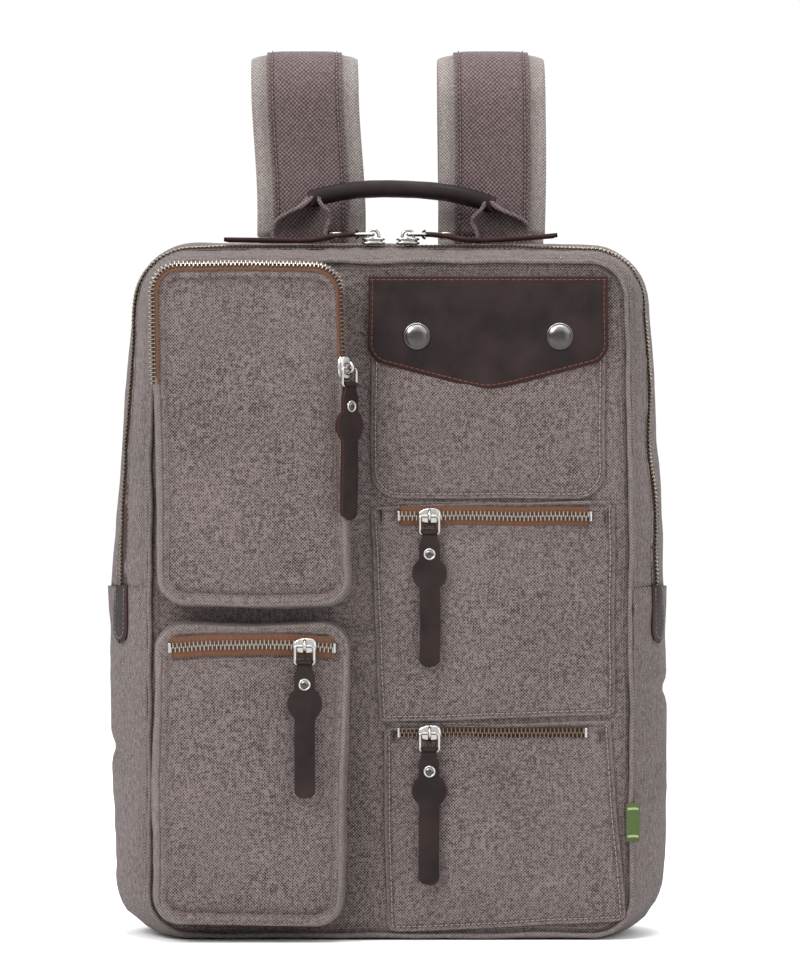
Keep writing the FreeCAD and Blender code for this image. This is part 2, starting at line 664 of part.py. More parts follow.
# ---- back padding, board, sleeve and linings -------------------------------------------
pad_half = back_pad_width / 2
back_pad_top = body_height - back_drop - 2 * pipe_inset - 1.0 - yoke_height - 3.0
keep("back_pad", rounded_plate(-pad_half, pad_half, back_pad_base, back_pad_top, back_pad_radius,
                               back_face, back_face + back_pad_thickness))
board_half = bottom_half - board_margin
board_base = canvas + lining_gap + front_lift
keep("bottom_board", box(-board_half, board_half, panel_inner_y + board_margin, back_face - canvas - board_margin,
                         board_base, board_base + board_thickness))
sleeve_y0 = back_face - canvas - lining - 2 * lining_gap - sleeve_space
sleeve_base = board_base + board_thickness + 5.0
sleeve_outer = rounded_plate(-sleeve_width / 2, sleeve_width / 2, sleeve_base, sleeve_base + sleeve_height, 8.0,
                             sleeve_y0 - sleeve_thickness, back_face - canvas - lining - 2 * lining_gap)
sleeve_inner = box(-sleeve_width / 2 + sleeve_thickness, sleeve_width / 2 - sleeve_thickness, sleeve_y0,
                   far, sleeve_base + sleeve_thickness, sleeve_base + sleeve_height + over)
keep("laptop_sleeve", sleeve_outer.cut(sleeve_inner))
lining_outer = body_solid(-canvas - lining_gap)
lining_shell = lining_outer.cut(body_solid(-canvas - lining_gap - lining, over))
rear_lining_zone = box(-far, far, zip_y + zip_half_gap + 2.0, back_face - canvas - 2.0,
                       canvas + board_thickness + 4.0, body_height)
back_lining = rounded_plate(-back_half + canvas + 4.0, back_half - canvas - 4.0, canvas + board_thickness + 4.0,
                            body_height - back_drop - canvas - 4.0, back_radius - canvas - 4.0,
                            back_face - canvas - lining - lining_gap, back_face - canvas - lining_gap)
keep("rear_lining", lining_shell.common(rear_lining_zone), back_lining)
keep("front_lining", rounded_plate(-front_half + canvas + 4.0, front_half - canvas - 4.0, canvas + board_thickness + 4.0,
                                   front_top - canvas - 4.0, front_radius - canvas - 4.0,
                                   panel_inner_y + lining_gap, panel_inner_y + lining_gap + lining))

os.makedirs("parts", exist_ok=True)
for name, solids in nodes.items():
    pieces = []
    for solid in solids:
        pieces.extend(solid.Solids)
    shape = pieces[0] if len(pieces) == 1 else Part.makeCompound(pieces)
    shape.exportStep("parts/" + name + ".step")
    print(name, len(pieces), shape.isValid(), round(shape.Volume, 1))
for name, at in pivots.items():
    print("pivot", name, [round(v, 3) for v in at])
print("nodes", len(nodes))
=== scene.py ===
import bpy
import bmesh
import json
import math
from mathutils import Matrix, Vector, noise


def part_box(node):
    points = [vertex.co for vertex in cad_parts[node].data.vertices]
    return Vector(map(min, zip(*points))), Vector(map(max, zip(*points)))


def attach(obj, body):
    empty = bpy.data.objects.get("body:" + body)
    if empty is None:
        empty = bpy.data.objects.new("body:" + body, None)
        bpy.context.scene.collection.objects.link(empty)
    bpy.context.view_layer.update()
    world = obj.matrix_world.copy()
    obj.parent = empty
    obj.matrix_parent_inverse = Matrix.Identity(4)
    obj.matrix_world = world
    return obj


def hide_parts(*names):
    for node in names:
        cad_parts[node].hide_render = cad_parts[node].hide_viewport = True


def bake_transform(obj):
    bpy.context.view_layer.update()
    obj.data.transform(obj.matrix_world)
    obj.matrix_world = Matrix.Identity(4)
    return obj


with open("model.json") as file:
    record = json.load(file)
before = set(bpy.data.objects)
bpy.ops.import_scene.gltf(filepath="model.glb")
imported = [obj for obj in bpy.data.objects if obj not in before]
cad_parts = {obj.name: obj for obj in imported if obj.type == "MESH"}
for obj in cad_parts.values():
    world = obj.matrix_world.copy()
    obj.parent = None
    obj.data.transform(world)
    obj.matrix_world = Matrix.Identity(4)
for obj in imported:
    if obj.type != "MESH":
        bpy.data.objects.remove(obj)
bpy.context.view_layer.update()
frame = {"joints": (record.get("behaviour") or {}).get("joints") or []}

mm = 0.001

# camera level with the middle of the bag, far back so the sides stay nearly parallel
view = {"distance": 3.5, "aimX": 0.006, "aimZ": 0.284, "frameHeight": 0.616}
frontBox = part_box("front_panel")
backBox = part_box("back_panel")
camera = bpy.data.objects.new("camera", bpy.data.cameras.new("camera"))
bpy.context.collection.objects.link(camera)
camera.location = (view["aimX"], frontBox[0][1] - view["distance"], view["aimZ"])
camera.rotation_euler = (math.pi / 2, 0, 0)
camera.data.sensor_fit = "VERTICAL"
camera.data.sensor_height = 36
camera.data.lens = 36 * view["distance"] / view["frameHeight"]
camera.data.clip_end = 50
bpy.context.scene.camera = camera
print("camera ready")


# small helper that adds nodes to one material
class Shade:
    def __init__(self, name):
        self.mat = bpy.data.materials.new(name)
        self.mat.use_nodes = True
        self.tree = self.mat.node_tree
        self.bsdf = self.tree.nodes["Principled BSDF"]
        coord = self.add("ShaderNodeTexCoord")
        self.place = coord.outputs["Object"]
        self.normal = coord.outputs["Normal"]

    def add(self, kind, **given):
        made = self.tree.nodes.new(kind)
        for key, value in given.items():
            setattr(made, key, value)
        return made

    def put(self, socket, value):
        if isinstance(value, bpy.types.NodeSocket):
            self.tree.links.new(value, socket)
        else:
            socket.default_value = value

    def math(self, operation, a, b=0.0, c=0.0):
        made = self.tree.nodes.new("ShaderNodeMath")
        made.operation = operation
        for socket, value in zip(made.inputs, (a, b, c)):
            self.put(socket, value)
        return made.outputs[0]

    def mix(self, factor, a, b):
        made = self.tree.nodes.new("ShaderNodeMix")
        made.data_type = "RGBA"
        self.put(made.inputs[0], factor)
        self.put(made.inputs[6], a)
        self.put(made.inputs[7], b)
        return made.outputs[2]

    def spread(self, value, low, high, toLow=0.0, toHigh=1.0):
        made = self.add("ShaderNodeMapRange")
        for key, number in zip(("Value", "From Min", "From Max", "To Min", "To Max"),
                               (value, low, high, toLow, toHigh)):
            self.put(made.inputs[key], number)
        return made.outputs[0]

    def noise(self, scale, detail=2.0, where=None):
        made = self.add("ShaderNodeTexNoise")
        made.inputs["Scale"].default_value = scale
        made.inputs["Detail"].default_value = detail
        self.put(made.inputs["Vector"], where or self.place)
        return made.outputs["Fac"]

    def stretched(self, factors):
        made = self.add("ShaderNodeVectorMath", operation="MULTIPLY")
        self.put(made.inputs[0], self.place)
        made.inputs[1].default_value = factors
        return made.outputs[0]

    # two coordinates that lie in the cloth, picked by which way the surface faces
    def axes(self):
        place = self.add("ShaderNodeSeparateXYZ")
        self.put(place.inputs[0], self.place)
        facing = self.add("ShaderNodeSeparateXYZ")
        self.put(facing.inputs[0], self.normal)
        sideways = self.math("ABSOLUTE", facing.outputs[0])
        upward = self.math("ABSOLUTE", facing.outputs[2])
        isSide = self.math("GREATER_THAN", sideways, 0.72)
        isTop = self.math("GREATER_THAN", upward, 0.72)
        across = self.math("ADD", self.math("MULTIPLY", place.outputs[0], self.math("SUBTRACT", 1.0, isSide)),
                           self.math("MULTIPLY", place.outputs[1], isSide))
        along = self.math("ADD", self.math("MULTIPLY", place.outputs[2], self.math("SUBTRACT", 1.0, isTop)),
                          self.math("MULTIPLY", place.outputs[1], isTop))
        return across, along

    # plain weave: bumps that alternate between the two threads
    def weave(self, pitch, wobble=0.25):
        across, along = self.axes()
        shift = self.math("MULTIPLY", self.math("SUBTRACT", self.noise(1 / (pitch * 9)), 0.5),
                          pitch * wobble * 4)
        a = self.math("SINE", self.math("MULTIPLY", self.math("ADD", across, shift), math.pi / pitch))
        b = self.math("SINE", self.math("MULTIPLY", self.math("SUBTRACT", along, shift), math.pi / pitch))
        return self.math("MULTIPLY", a, b)

    def attribute(self, name):
        made = self.add("ShaderNodeAttribute")
        made.attribute_name = name
        return made.outputs["Fac"]

    def bump(self, height, strength, distance, after=None):
        made = self.add("ShaderNodeBump")
        made.inputs["Strength"].default_value = strength
        made.inputs["Distance"].default_value = distance
        self.put(made.inputs["Height"], height)
        if after is not None:
            self.put(made.inputs["Normal"], after)
        return made.outputs[0]

    def done(self, color, roughness, normal=None, metallic=0.0, sheen=0.0, specular=0.5):
        bsdf = self.bsdf
        self.put(bsdf.inputs["Base Color"], color)
        self.put(bsdf.inputs["Roughness"], roughness)
        bsdf.inputs["Metallic"].default_value = metallic
        bsdf.inputs["Sheen Weight"].default_value = sheen
        bsdf.inputs["Sheen Roughness"].default_value = 0.5
        bsdf.inputs["Specular IOR Level"].default_value = specular
        if normal is not None:
            self.put(bsdf.inputs["Normal"], normal)
        return self.mat


# washed cotton: thread bumps, mixed yarn, slow fading, pale worn edges, and painted shade along seams, grooves
# and hollows
def cloth(name, dark, light, pitch, heather=0.5, worn=0.35, depth=0.5, sheen=0.08):
    s = Shade(name)
    threads = s.weave(pitch)
    yarnA = s.noise(1 / (pitch * 1.1), 1.0, s.stretched((0.35, 1.0, 1.6)))
    yarnB = s.noise(1 / (pitch * 1.2), 1.0, s.stretched((1.6, 1.0, 0.35)))
    specks = s.spread(s.math("ADD", yarnA, yarnB), 0.78, 1.22)
    fade = s.spread(s.noise(14.0, 4.0), 0.3, 0.7)
    tone = s.math("ADD", s.math("MULTIPLY", specks, heather),
                  s.math("ADD", s.math("MULTIPLY", fade, 0.16), s.math("MULTIPLY", threads, 0.5)))
    tone = s.math("ADD", tone, 0.14)
    base = s.mix(s.math("MINIMUM", s.math("MAXIMUM", tone, 0.0), 1.0), dark, light)
    scuff = s.math("MULTIPLY", s.attribute("wear"), s.spread(s.noise(160.0, 3.0), 0.25, 0.75, 0.45, 1.0))
    pale = tuple(min(1.0, c * 1.5) for c in light[:3]) + (1.0,)
    base = s.mix(s.math("MULTIPLY", scuff, worn), base, pale)
    # painted shade: darker colour along seams, stitch grooves and hollows, as marked on each piece
    shadow = s.attribute("paintedShade")
    base = s.mix(s.math("MULTIPLY", shadow, 0.8), base, tuple(c * 0.45 for c in dark[:3]) + (1.0,))
    fuzz = s.bump(s.noise(900.0, 2.0), 0.25, 0.0004)
    surface = s.bump(threads, depth, pitch * 0.28, fuzz)
    surface = s.bump(s.noise(60.0, 3.0), 0.25, 0.002, surface)
    return s.done(base, 0.92, surface, sheen=sheen, specular=0.15)


# oiled leather: fine pebble grain, rubbed patches, reddish raw edges
def hide(name, dark, light, edge, rough=0.52):
    s = Shade(name)
    cells = s.add("ShaderNodeTexVoronoi", feature="DISTANCE_TO_EDGE")
    cells.inputs["Scale"].default_value = 900.0
    s.put(cells.inputs["Vector"], s.place)
    pebble = s.spread(cells.outputs["Distance"], 0.0, 0.12)
    rub = s.spread(s.noise(45.0, 4.0), 0.35, 0.75)
    base = s.mix(rub, dark, light)
    base = s.mix(s.math("MULTIPLY", s.spread(s.noise(420.0, 2.0), 0.55, 0.8), 0.35), base, light)
    base = s.mix(s.math("MULTIPLY", s.attribute("wear"), 0.8), base, edge)
    rough = s.spread(s.noise(70.0, 3.0), 0.3, 0.7, rough - 0.09, rough + 0.12)
    surface = s.bump(pebble, 0.32, 0.0002)
    surface = s.bump(s.noise(130.0, 3.0), 0.3, 0.0009, surface)
    return s.done(base, rough, surface, specular=0.16)


# metal that is darker where it is dirty, and darker where it faces down as painted shade, a painted reflection of
# the darker ground; worn is the colour for both
def metal(name, color, worn, rough=0.2, shade=(0.35, -0.6)):
    s = Shade(name)
    dirt = s.spread(s.noise(330.0, 4.0), 0.45, 0.75)
    facing = s.add("ShaderNodeSeparateXYZ")
    s.put(facing.inputs[0], s.normal)
    # painted shade and painted highlight: colour set by which way the surface faces, darker towards the ground
    paintedFacingShade = s.spread(facing.outputs[2], shade[0], shade[1])
    base = s.mix(s.math("MAXIMUM", s.math("MULTIPLY", dirt, 0.6), s.math("MULTIPLY", paintedFacingShade, 0.92)), color,
                 worn)
    level = s.spread(s.noise(240.0, 3.0), 0.3, 0.7, rough, rough + 0.16)
    return s.done(base, level, s.bump(s.noise(700.0, 2.0), 0.06, 0.0002), metallic=1.0)


# twisted sewing thread
def thread(name, color):
    s = Shade(name)
    base = s.mix(s.spread(s.noise(1400.0), 0.3, 0.7), tuple(c * 0.6 for c in color[:3]) + (1.0,), color)
    return s.done(base, 0.75, s.bump(s.noise(2600.0, 1.0), 0.5, 0.0002), sheen=0.1, specular=0.3)


paint = {
    "canvas": cloth("washedCanvas", (0.009, 0.0062, 0.0058, 1), (0.180, 0.145, 0.139, 1), 1.0 * mm, 0.7,
                    depth=0.95),
    "strapCanvas": cloth("strapCanvas", (0.10, 0.085, 0.08, 1), (0.29, 0.255, 0.24, 1), 1.1 * mm, 0.42, 0.25),
    "webbing": cloth("coarseWebbing", (0.042, 0.028, 0.029, 1), (0.190, 0.138, 0.140, 1), 1.4 * mm, 0.3,
                     0.3, 0.8),
    "welt": cloth("weltCanvas", (0.040, 0.031, 0.030, 1), (0.180, 0.150, 0.143, 1), 1.0 * mm, 0.45, 0.3),
    "leather": hide("oiledLeather", (0.0070, 0.0032, 0.0032, 1), (0.0200, 0.0105, 0.0105, 1),
                    (0.030, 0.0085, 0.0075, 1)),
    # metals: the second colour is both dirt and painted shade on the faces that look down
    "nickel": metal("polishedNickel", (0.56, 0.54, 0.52, 1), (0.11, 0.10, 0.095, 1), 0.16),
    # snap caps and rivet hearts: nickel under painted shade on all but its upward faces, which keep the bright
    # colour as a painted highlight
    "paintedShadeNickel": metal("paintedShadeNickel", (0.46, 0.44, 0.43, 1), (0.030, 0.027, 0.026, 1), 0.2, (0.52, 0.10)),
    "teeth": metal("silverTeeth", (0.50, 0.48, 0.44, 1), (0.10, 0.08, 0.065, 1), 0.24),
    "bronze": metal("bronzeTeeth", (0.25, 0.19, 0.14, 1), (0.06, 0.04, 0.027, 1), 0.3),
    "tape": cloth("brownTape", (0.062, 0.026, 0.013, 1), (0.150, 0.072, 0.043, 1), 0.8 * mm, 0.4, 0.1, 0.6),
    "darkTape": cloth("darkTape", (0.022, 0.012, 0.010, 1), (0.060, 0.033, 0.026, 1), 0.8 * mm, 0.4, 0.1,
                      0.6),
    "paleThread": thread("paleThread", (0.155, 0.125, 0.115, 1)),
    "stitchThread": thread("stitchThread", (0.27, 0.225, 0.21, 1)),
    "tabThread": thread("tabThread", (0.20, 0.14, 0.12, 1)),
    "redThread": thread("redThread", (0.150, 0.032, 0.020, 1)),
    "mesh": cloth("airMesh", (0.022, 0.020, 0.020, 1), (0.065, 0.060, 0.060, 1), 1.6 * mm, 0.3, 0.1, 1.2),
    "lining": cloth("cottonLining", (0.08, 0.06, 0.043, 1), (0.16, 0.125, 0.09, 1), 0.7 * mm, 0.4, 0.1, 0.4),
    "green": cloth("greenTag", (0.034, 0.055, 0.018, 1), (0.080, 0.118, 0.040, 1), 0.6 * mm, 0.4, 0.1, 0.4),
    "palePrint": cloth("paleBars", (0.20, 0.24, 0.12, 1), (0.32, 0.35, 0.2, 1), 0.6 * mm, 0.3, 0.1, 0.4),
}
grainy = Shade("mouldedPlastic")
paint["plastic"] = grainy.done(grainy.mix(grainy.noise(90.0, 3.0), (0.008, 0.008, 0.009, 1),
                                          (0.018, 0.017, 0.018, 1)),
                               0.45, grainy.bump(grainy.noise(1300.0, 1.0), 0.2, 0.0002))
print("materials ready")


# one mesh piece: material, body, the CAD nodes it stands for, and its marks for wear and painted shade
def piece(name, points, faces, look, body, nodes=(), marks=None, smooth=True):
    mesh = bpy.data.meshes.new(name)
    mesh.from_pydata([tuple(p) for p in points], [], faces)
    mesh.materials.append(paint[look])
    for key, values in (marks or {}).items():
        layer = mesh.attributes.new(key, "FLOAT", "POINT")
        layer.data.foreach_set("value", values)
    form = bmesh.new()
    form.from_mesh(mesh)
    bmesh.ops.recalc_face_normals(form, faces=form.faces)
    form.to_mesh(mesh)
    form.free()
    mesh.polygons.foreach_set("use_smooth", [smooth] * len(mesh.polygons))
    mesh.update()
    made = bpy.data.objects.new(name, mesh)
    bpy.context.collection.objects.link(made)
    if body:
        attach(made, body)
    if nodes:
        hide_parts(*nodes)
    return made


# closed sheet from rows of points: outer skin, inner skin and rounded rims
def thicken(rows, thick, wear=None, paintedShade=None):
    m, n = len(rows), len(rows[0])
    points, normals = [], []
    for i in range(m):
        for j in range(n):
            left, right = rows[i][max(j - 1, 0)], rows[i][min(j + 1, n - 1)]
            down, up = rows[max(i - 1, 0)][j], rows[min(i + 1, m - 1)][j]
            normal = (right - left).cross(up - down)
            normals.append(normal.normalized() if normal.length > 1e-12 else Vector((0, -1, 0)))
            points.append(rows[i][j])
    count = m * n
    points = points + [p - q * thick for p, q in zip(points, normals)]
    faces = []
    for i in range(m - 1):
        for j in range(n - 1):
            a, b, c, d = i * n + j, i * n + j + 1, (i + 1) * n + j + 1, (i + 1) * n + j
            faces.append((a, b, c, d))
            faces.append((d + count, c + count, b + count, a + count))
    loop = list(range(n)) + [i * n + n - 1 for i in range(1, m)]
    loop += [(m - 1) * n + j for j in range(n - 2, -1, -1)] + [i * n for i in range(m - 2, -1, -1)]
    for a, b in zip(loop, loop[1:]):
        faces.append((b, a, a + count, b + count))
    marks = {}
    for key, values in (("wear", wear), ("paintedShade", paintedShade)):
        if values is not None:
            flat = [v for row in values for v in row]
            marks[key] = flat + flat
    return points, faces, marks


# faces that join rings of points into a skin, capped at both ends unless the rings close on themselves
def ringFaces(rings, sides, closed=False):
    faces = []
    for i in range(rings if closed else rings - 1):
        for k in range(sides):
            a, b = i * sides + k, i * sides + (k + 1) % sides
            c, d = ((i + 1) % rings) * sides + (k + 1) % sides, ((i + 1) % rings) * sides + k
            faces.append((a, b, c, d))
    if not closed:
        faces.append(tuple(range(sides))[::-1])
        faces.append(tuple((rings - 1) * sides + k for k in range(sides)))
    return faces

# round cord along a list of points; flat squashes it along its own normal
def tube(path, radius, sides=10, closed=False, flat=1.0, up=None):
    points = []
    n = len(path)
    for i, p in enumerate(path):
        before = path[(i - 1) % n] if closed else path[max(i - 1, 0)]
        after = path[(i + 1) % n] if closed else path[min(i + 1, n - 1)]
        along = (after - before).normalized()
        guide = up if up is not None else Vector((0, -1, 0))
        side = along.cross(guide)
        side = side.normalized() if side.length > 1e-6 else Vector((1, 0, 0))
        over = side.cross(along).normalized()
        r = radius(i / max(1, n - 1)) if callable(radius) else radius
        for k in range(sides):
            turn = 2 * math.pi * k / sides
            points.append(p + side * math.cos(turn) * r + over * math.sin(turn) * r * flat)
    return points, ringFaces(n, sides, closed)


def join(parts):
    points, faces = [], []
    for p, f in parts:
        start = len(points)
        points.extend(p)
        faces.extend(tuple(i + start for i in face) for face in f)
    return points, faces


# even points along a path, with the direction at each
def resample(path, step, closed=False):
    path = list(path) + ([path[0]] if closed else [])
    lengths = [0.0]
    for a, b in zip(path, path[1:]):
        lengths.append(lengths[-1] + (b - a).length)
    total = lengths[-1]
    count = max(1, int(round(total / step)))
    out, k = [], 0
    for i in range(count + (0 if closed else 1)):
        at = total * i / count
        while k < len(path) - 2 and lengths[k + 1] < at:
            k += 1
        gap = lengths[k + 1] - lengths[k] or 1e-9
        t = (at - lengths[k]) / gap
        out.append((path[k].lerp(path[k + 1], t), (path[k + 1] - path[k]).normalized()))
    return out


# rows of thread stitches: each is a small capsule that dips into the cloth at its ends
def stitches(name, paths, look, body, step=3.4 * mm, length=2.3 * mm, radius=0.36 * mm,
             lift=None):
    out = lift or Vector((0, -1, 0))
    parts = []
    for path in paths:
        for at, along in resample(path, step):
            dots = []
            for t in (-0.5, -0.3, 0.0, 0.3, 0.5):
                dots.append(at + along * length * t + out * (radius * (0.55 - 3.4 * t * t)))
            parts.append(tube(dots, radius, 5, up=out))
    points, faces = join(parts)
    return piece(name, points, faces, look, body)


def wave(p, size, seed=0.0):
    return noise.noise(Vector((p[0] / size + seed, p[1] / size - seed, p[2] / size + seed * 0.5)))


# slow sag and small creases of soft cloth, about -1 to 1
def crumple(p, seed=0.0):
    return 0.65 * wave(p, 0.075, seed) + 0.3 * wave(p, 0.03, seed + 3.1) + 0.12 * wave(p, 0.012, seed + 9.7)


def ease(t):
    t = min(1.0, max(0.0, t))
    return t * t * (3 - 2 * t)


# the soft body: outlines that swell from the front panel to the belly and back again
body = {"front": frontBox[0][1], "back": backBox[1][1], "belly": 0.005, "zip": -0.025, "zipEnd": 0.222,
        "half": (0.153, 0.175, 0.160), "top": (0.429, 0.441, 0.436), "radius": (0.026, 0.038, 0.032),
        "canvas": 0.002}


def through(values, y):
    a, b, c = body["front"], body["belly"], body["back"]
    la = (y - b) * (y - c) / ((a - b) * (a - c))
    lb = (y - a) * (y - c) / ((b - a) * (b - c))
    lc = (y - a) * (y - b) / ((c - a) * (c - b))
    return values[0] * la + values[1] * lb + values[2] * lc


# the bag narrows a little towards its top
def narrowing(y, z):
    k = 0.022 + 0.05 * ease((y - body["front"]) / 0.05)
    return 1 - k * max(0.0, (z - 0.17) / 0.27) ** 2


# the lower half of the bag bulges, more on its left side
def bulge(x, y, z):
    deep = math.exp(-((y - 0.002) / 0.036) ** 2)
    low = math.sin(math.pi * min(1.0, max(0.0, (z - 0.01) / 0.33)))
    return (0.0052 if x < 0 else 0.0016) * deep * low


# how far the zip wanders towards the front or back
def zipSway(x, z):
    far = ease((abs(x) - 0.05) / 0.08)
    held = ease((z - body["zipEnd"]) / 0.030)
    slow = 0.0130 * held * wave(Vector((x, 0.3, z)), 0.052, 41.0) - (0.0055 if x > 0 else 0.0040)
    return (slow + 0.0016 * held * wave(Vector((x, 0.3, z)), 0.016, 42.0)) * far


# a point of the gusset once the wandering zip has pulled it along
def swayed(x, y, z, nx, nz):
    sway = zipSway(x, z) * math.exp(-((y - body["zip"]) / 0.017) ** 2)
    return Vector((x + 0.36 * sway * nx, y + sway, z + 0.2 * sway * nz))


# points and outward normals of the outline at one depth; keep says which stretches
def outlineAt(y, keep="all", grow=0.0, counts=(44, 10, 60)):
    half, top, r = through(body["half"], y) + grow, through(body["top"], y) + grow, through(body["radius"], y)
    low = 0.0015 * ease((body["zip"] - y) / 0.035) - grow
    end = body["zipEnd"]
    sideN, bendN, topN = counts
    right = []
    if keep == "upper":
        stops = [("side", end, top - r, sideN), ("topBend", 0, 0, bendN), ("top", 0, 0, topN // 2)]
    elif keep == "lower":
        stops = [("side", end, low + r, sideN), ("lowBend", 0, 0, bendN), ("floor", 0, 0, topN // 2)]
    else:
        stops = [("floorOut", 0, 0, topN // 2), ("lowBendUp", 0, 0, bendN), ("side", low + r, top - r, sideN),
                 ("topBend", 0, 0, bendN), ("top", 0, 0, topN // 2)]
    for kind, z0, z1, n in stops:
        for i in range(n):
            t = i / n
            a = t * math.pi / 2
            if kind == "side":
                right.append((half, z0 + (z1 - z0) * t, 1, 0))
            elif kind == "topBend":
                right.append((half - r + r * math.cos(a), top - r + r * math.sin(a), math.cos(a),
                              math.sin(a)))
            elif kind == "top":
                right.append(((half - r) * (1 - t), top, 0, 1))
            elif kind == "lowBend":
                right.append((half - r + r * math.cos(a), low + r - r * math.sin(a), math.cos(a),
                              -math.sin(a)))
            elif kind == "lowBendUp":
                right.append((half - r + r * math.sin(a), low + r - r * math.cos(a), math.sin(a),
                              -math.cos(a)))
            elif kind == "floor":
                right.append(((half - r) * (1 - t), low, 0, -1))
            else:
                right.append(((half - r) * t, low, 0, -1))
    middle = [(0.0, top if keep != "lower" else low, 0, 1 if keep != "lower" else -1)]
    if keep == "all":
        left = [(-x, z, -nx, nz) for x, z, nx, nz in right[1:]][::-1]
    else:
        left = [(-x, z, -nx, nz) for x, z, nx, nz in right][::-1]
    run = right + middle + left
    return [(x * narrowing(y, z) + math.copysign(bulge(x, y, z), x) * (1 if abs(nx) > 0.5 else 0), z, nx, nz)
            for x, z, nx, nz in run]


# cloth band of the gusset between two depths
def gussetBand(y0, y1, steps, keep, seed, seams):
    rows, wear, paintedShade = [], [], []
    for i in range(steps + 1):
        y = y0 + (y1 - y0) * i / steps
        row, wornRow, paintedShadeRow = [], [], []
        nearSeam = min(abs(y - s) for s in seams)
        for x, z, nx, nz in outlineAt(y, keep):
            p = Vector((x, y, z))
            out = Vector((nx, 0, nz))
            slack = 1 - math.exp(-nearSeam / 0.012)
            push = crumple(p, seed) * (0.0042 if keep == "lower" else 0.0030) * slack
            if keep == "lower" and abs(nx) > 0.7:
                crease = z - (0.157 if x > 0 else 0.120) - 0.20 * y
                push -= 0.0032 * slack * math.exp(-(crease / 0.0065) ** 2)
            pucker = wave(Vector((x * 2.0, 0, z * 2.0)), 0.018, seed + 4)
            push += pucker * 0.0011 * math.exp(-nearSeam / 0.007)
            if keep == "lower" and z < 0.012:
                push = -abs(push) * 0.3 + 0.0003
            if keep == "upper" and nz > 0.7:
                push += 0.0010 * slack * wave(p, 0.05, seed + 12)
            if keep == "upper":
                p = swayed(x, y, z, nx, nz)
            row.append(p + out * push)
            wornRow.append(0.85 * math.exp(-nearSeam / 0.0016) + 0.25 * max(0.0, pucker)
                           * math.exp(-nearSeam / 0.008))
            # painted shade along the stitch line a few millimetres from each seam
            paintedShadeRow.append(0.5 * math.exp(-abs(nearSeam - 0.004) / 0.0012) * 0.6)
        step = -1 if keep == "upper" else 1
        rows.append(row[::step])
        wear.append(wornRow[::step])
        paintedShade.append(paintedShadeRow[::step])
    return thicken(rows, body["canvas"], wear=wear, paintedShade=paintedShade)


zipGap = 0.0042
frontEdge, rearEdge = body["zip"] - zipGap, body["zip"] + zipGap
innerFront, innerBack = body["front"] + 0.0008, body["back"] - 0.0012
points, faces, marks = gussetBand(rearEdge, innerBack, 30, "upper", 1.0, (rearEdge, innerBack))
piece("rearGusset", points, faces, "canvas", "bag", ["rear_gusset"], marks=marks)
points, faces, marks = gussetBand(innerFront, frontEdge, 14, "upper", 2.0, (innerFront, frontEdge))
piece("frontGusset", points, faces, "canvas", "front_wall", ["front_gusset"], marks=marks)
points, faces, marks = gussetBand(innerFront, innerBack, 44, "lower", 3.0, (innerFront, innerBack))
lowerGusset = piece("lowerGusset", points, faces, "canvas", None,
                    ["lower_gusset_left", "lower_gusset_right", "bottom_panel"], marks=marks)
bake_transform(lowerGusset)
print("gussets ready")


# slow waves of the front wall, which every piece sewn on it follows
def wallWave(x, z):
    p = Vector((x, 0.4, z))
    return 0.0014 * wave(p, 0.11, 5.0) + 0.0007 * wave(p, 0.04, 8.0)


def frontWallY(x, z):
    return body["front"] + 0.0016 - wallWave(x, z) - 0.0014


# rows of (x, z) that fill a rectangle with round corners; the outermost points are its outline
def roundedRows(x0, x1, z0, z1, r, columns, rowsCount, bend=7):
    heights = [z0 + r * (1 - math.cos(math.pi / 2 * i / bend)) for i in range(bend)]
    heights += [z0 + r + (z1 - z0 - 2 * r) * i / rowsCount for i in range(rowsCount + 1)]
    heights += [z1 - r * (1 - math.cos(math.pi / 2 * i / bend)) for i in range(bend - 1, -1, -1)]
    rows = []
    for z in heights:
        d = max(0.0, z0 + r - z, z - z1 + r)
        cut = r - math.sqrt(max(0.0, r * r - d * d))
        a, b = x0 + cut, x1 - cut
        rows.append([(a + (b - a) * j / columns, z) for j in range(columns + 1)])
    return rows


def edgeDistance(x, z, x0, x1, z0, z1, r):
    dx, dz = min(x - x0, x1 - x), min(z - z0, z1 - z)
    if dx < r and dz < r:
        return r - math.hypot(r - dx, r - dz)
    return min(dx, dz)


def panelSheet(half, z0, z1, r, y, facing, seed):
    rows, wear, paintedShade = [], [], []
    for line in roundedRows(-half, half, z0, z1, r, 76, 90):
        row, wornRow, paintedShadeRow = [], [], []
        for x, z in line:
            d = edgeDistance(x, z, -half, half, z0, z1, r)
            pucker = wave(Vector((x * 2, 0.1, z * 2)), 0.02, seed) * 0.0009 * math.exp(-d / 0.01)
            base = frontWallY(x, z) if facing < 0 else y - 0.0006 * wave(Vector((x, 0.7, z)), 0.08, seed)
            row.append(Vector((x * narrowing(y, z), base + facing * (pucker + 0.0004), z)))
            wornRow.append(0.3 * math.exp(-abs(d - 0.006) / 0.003) + 0.3 * max(0.0, pucker * 900))
            # painted shade where the panel meets the piping, and along the stitch line inside its edge
            paintedShadeRow.append(min(1.0, 1.3 * math.exp(-(d / 0.0034) ** 2) + 0.5
                              * math.exp(-abs(d - 0.0062) / 0.0008)))
        rows.append(row if facing < 0 else row[::-1])
        wear.append(wornRow)
        paintedShade.append(paintedShadeRow)
    return thicken(rows, body["canvas"], wear=wear, paintedShade=paintedShade)


points, faces, marks = panelSheet(body["half"][0] - 0.001, 0.0025, 0.428, 0.0255, body["front"], -1, 21.0)
piece("frontPanel", points, faces, "canvas", "front_wall", ["front_panel"], marks=marks)
points, faces, marks = panelSheet(body["half"][2] - 0.001, 0.001, 0.435, 0.031, body["back"], 1, 27.0)
piece("backPanel", points, faces, "canvas", "bag", ["back_panel"], marks=marks)

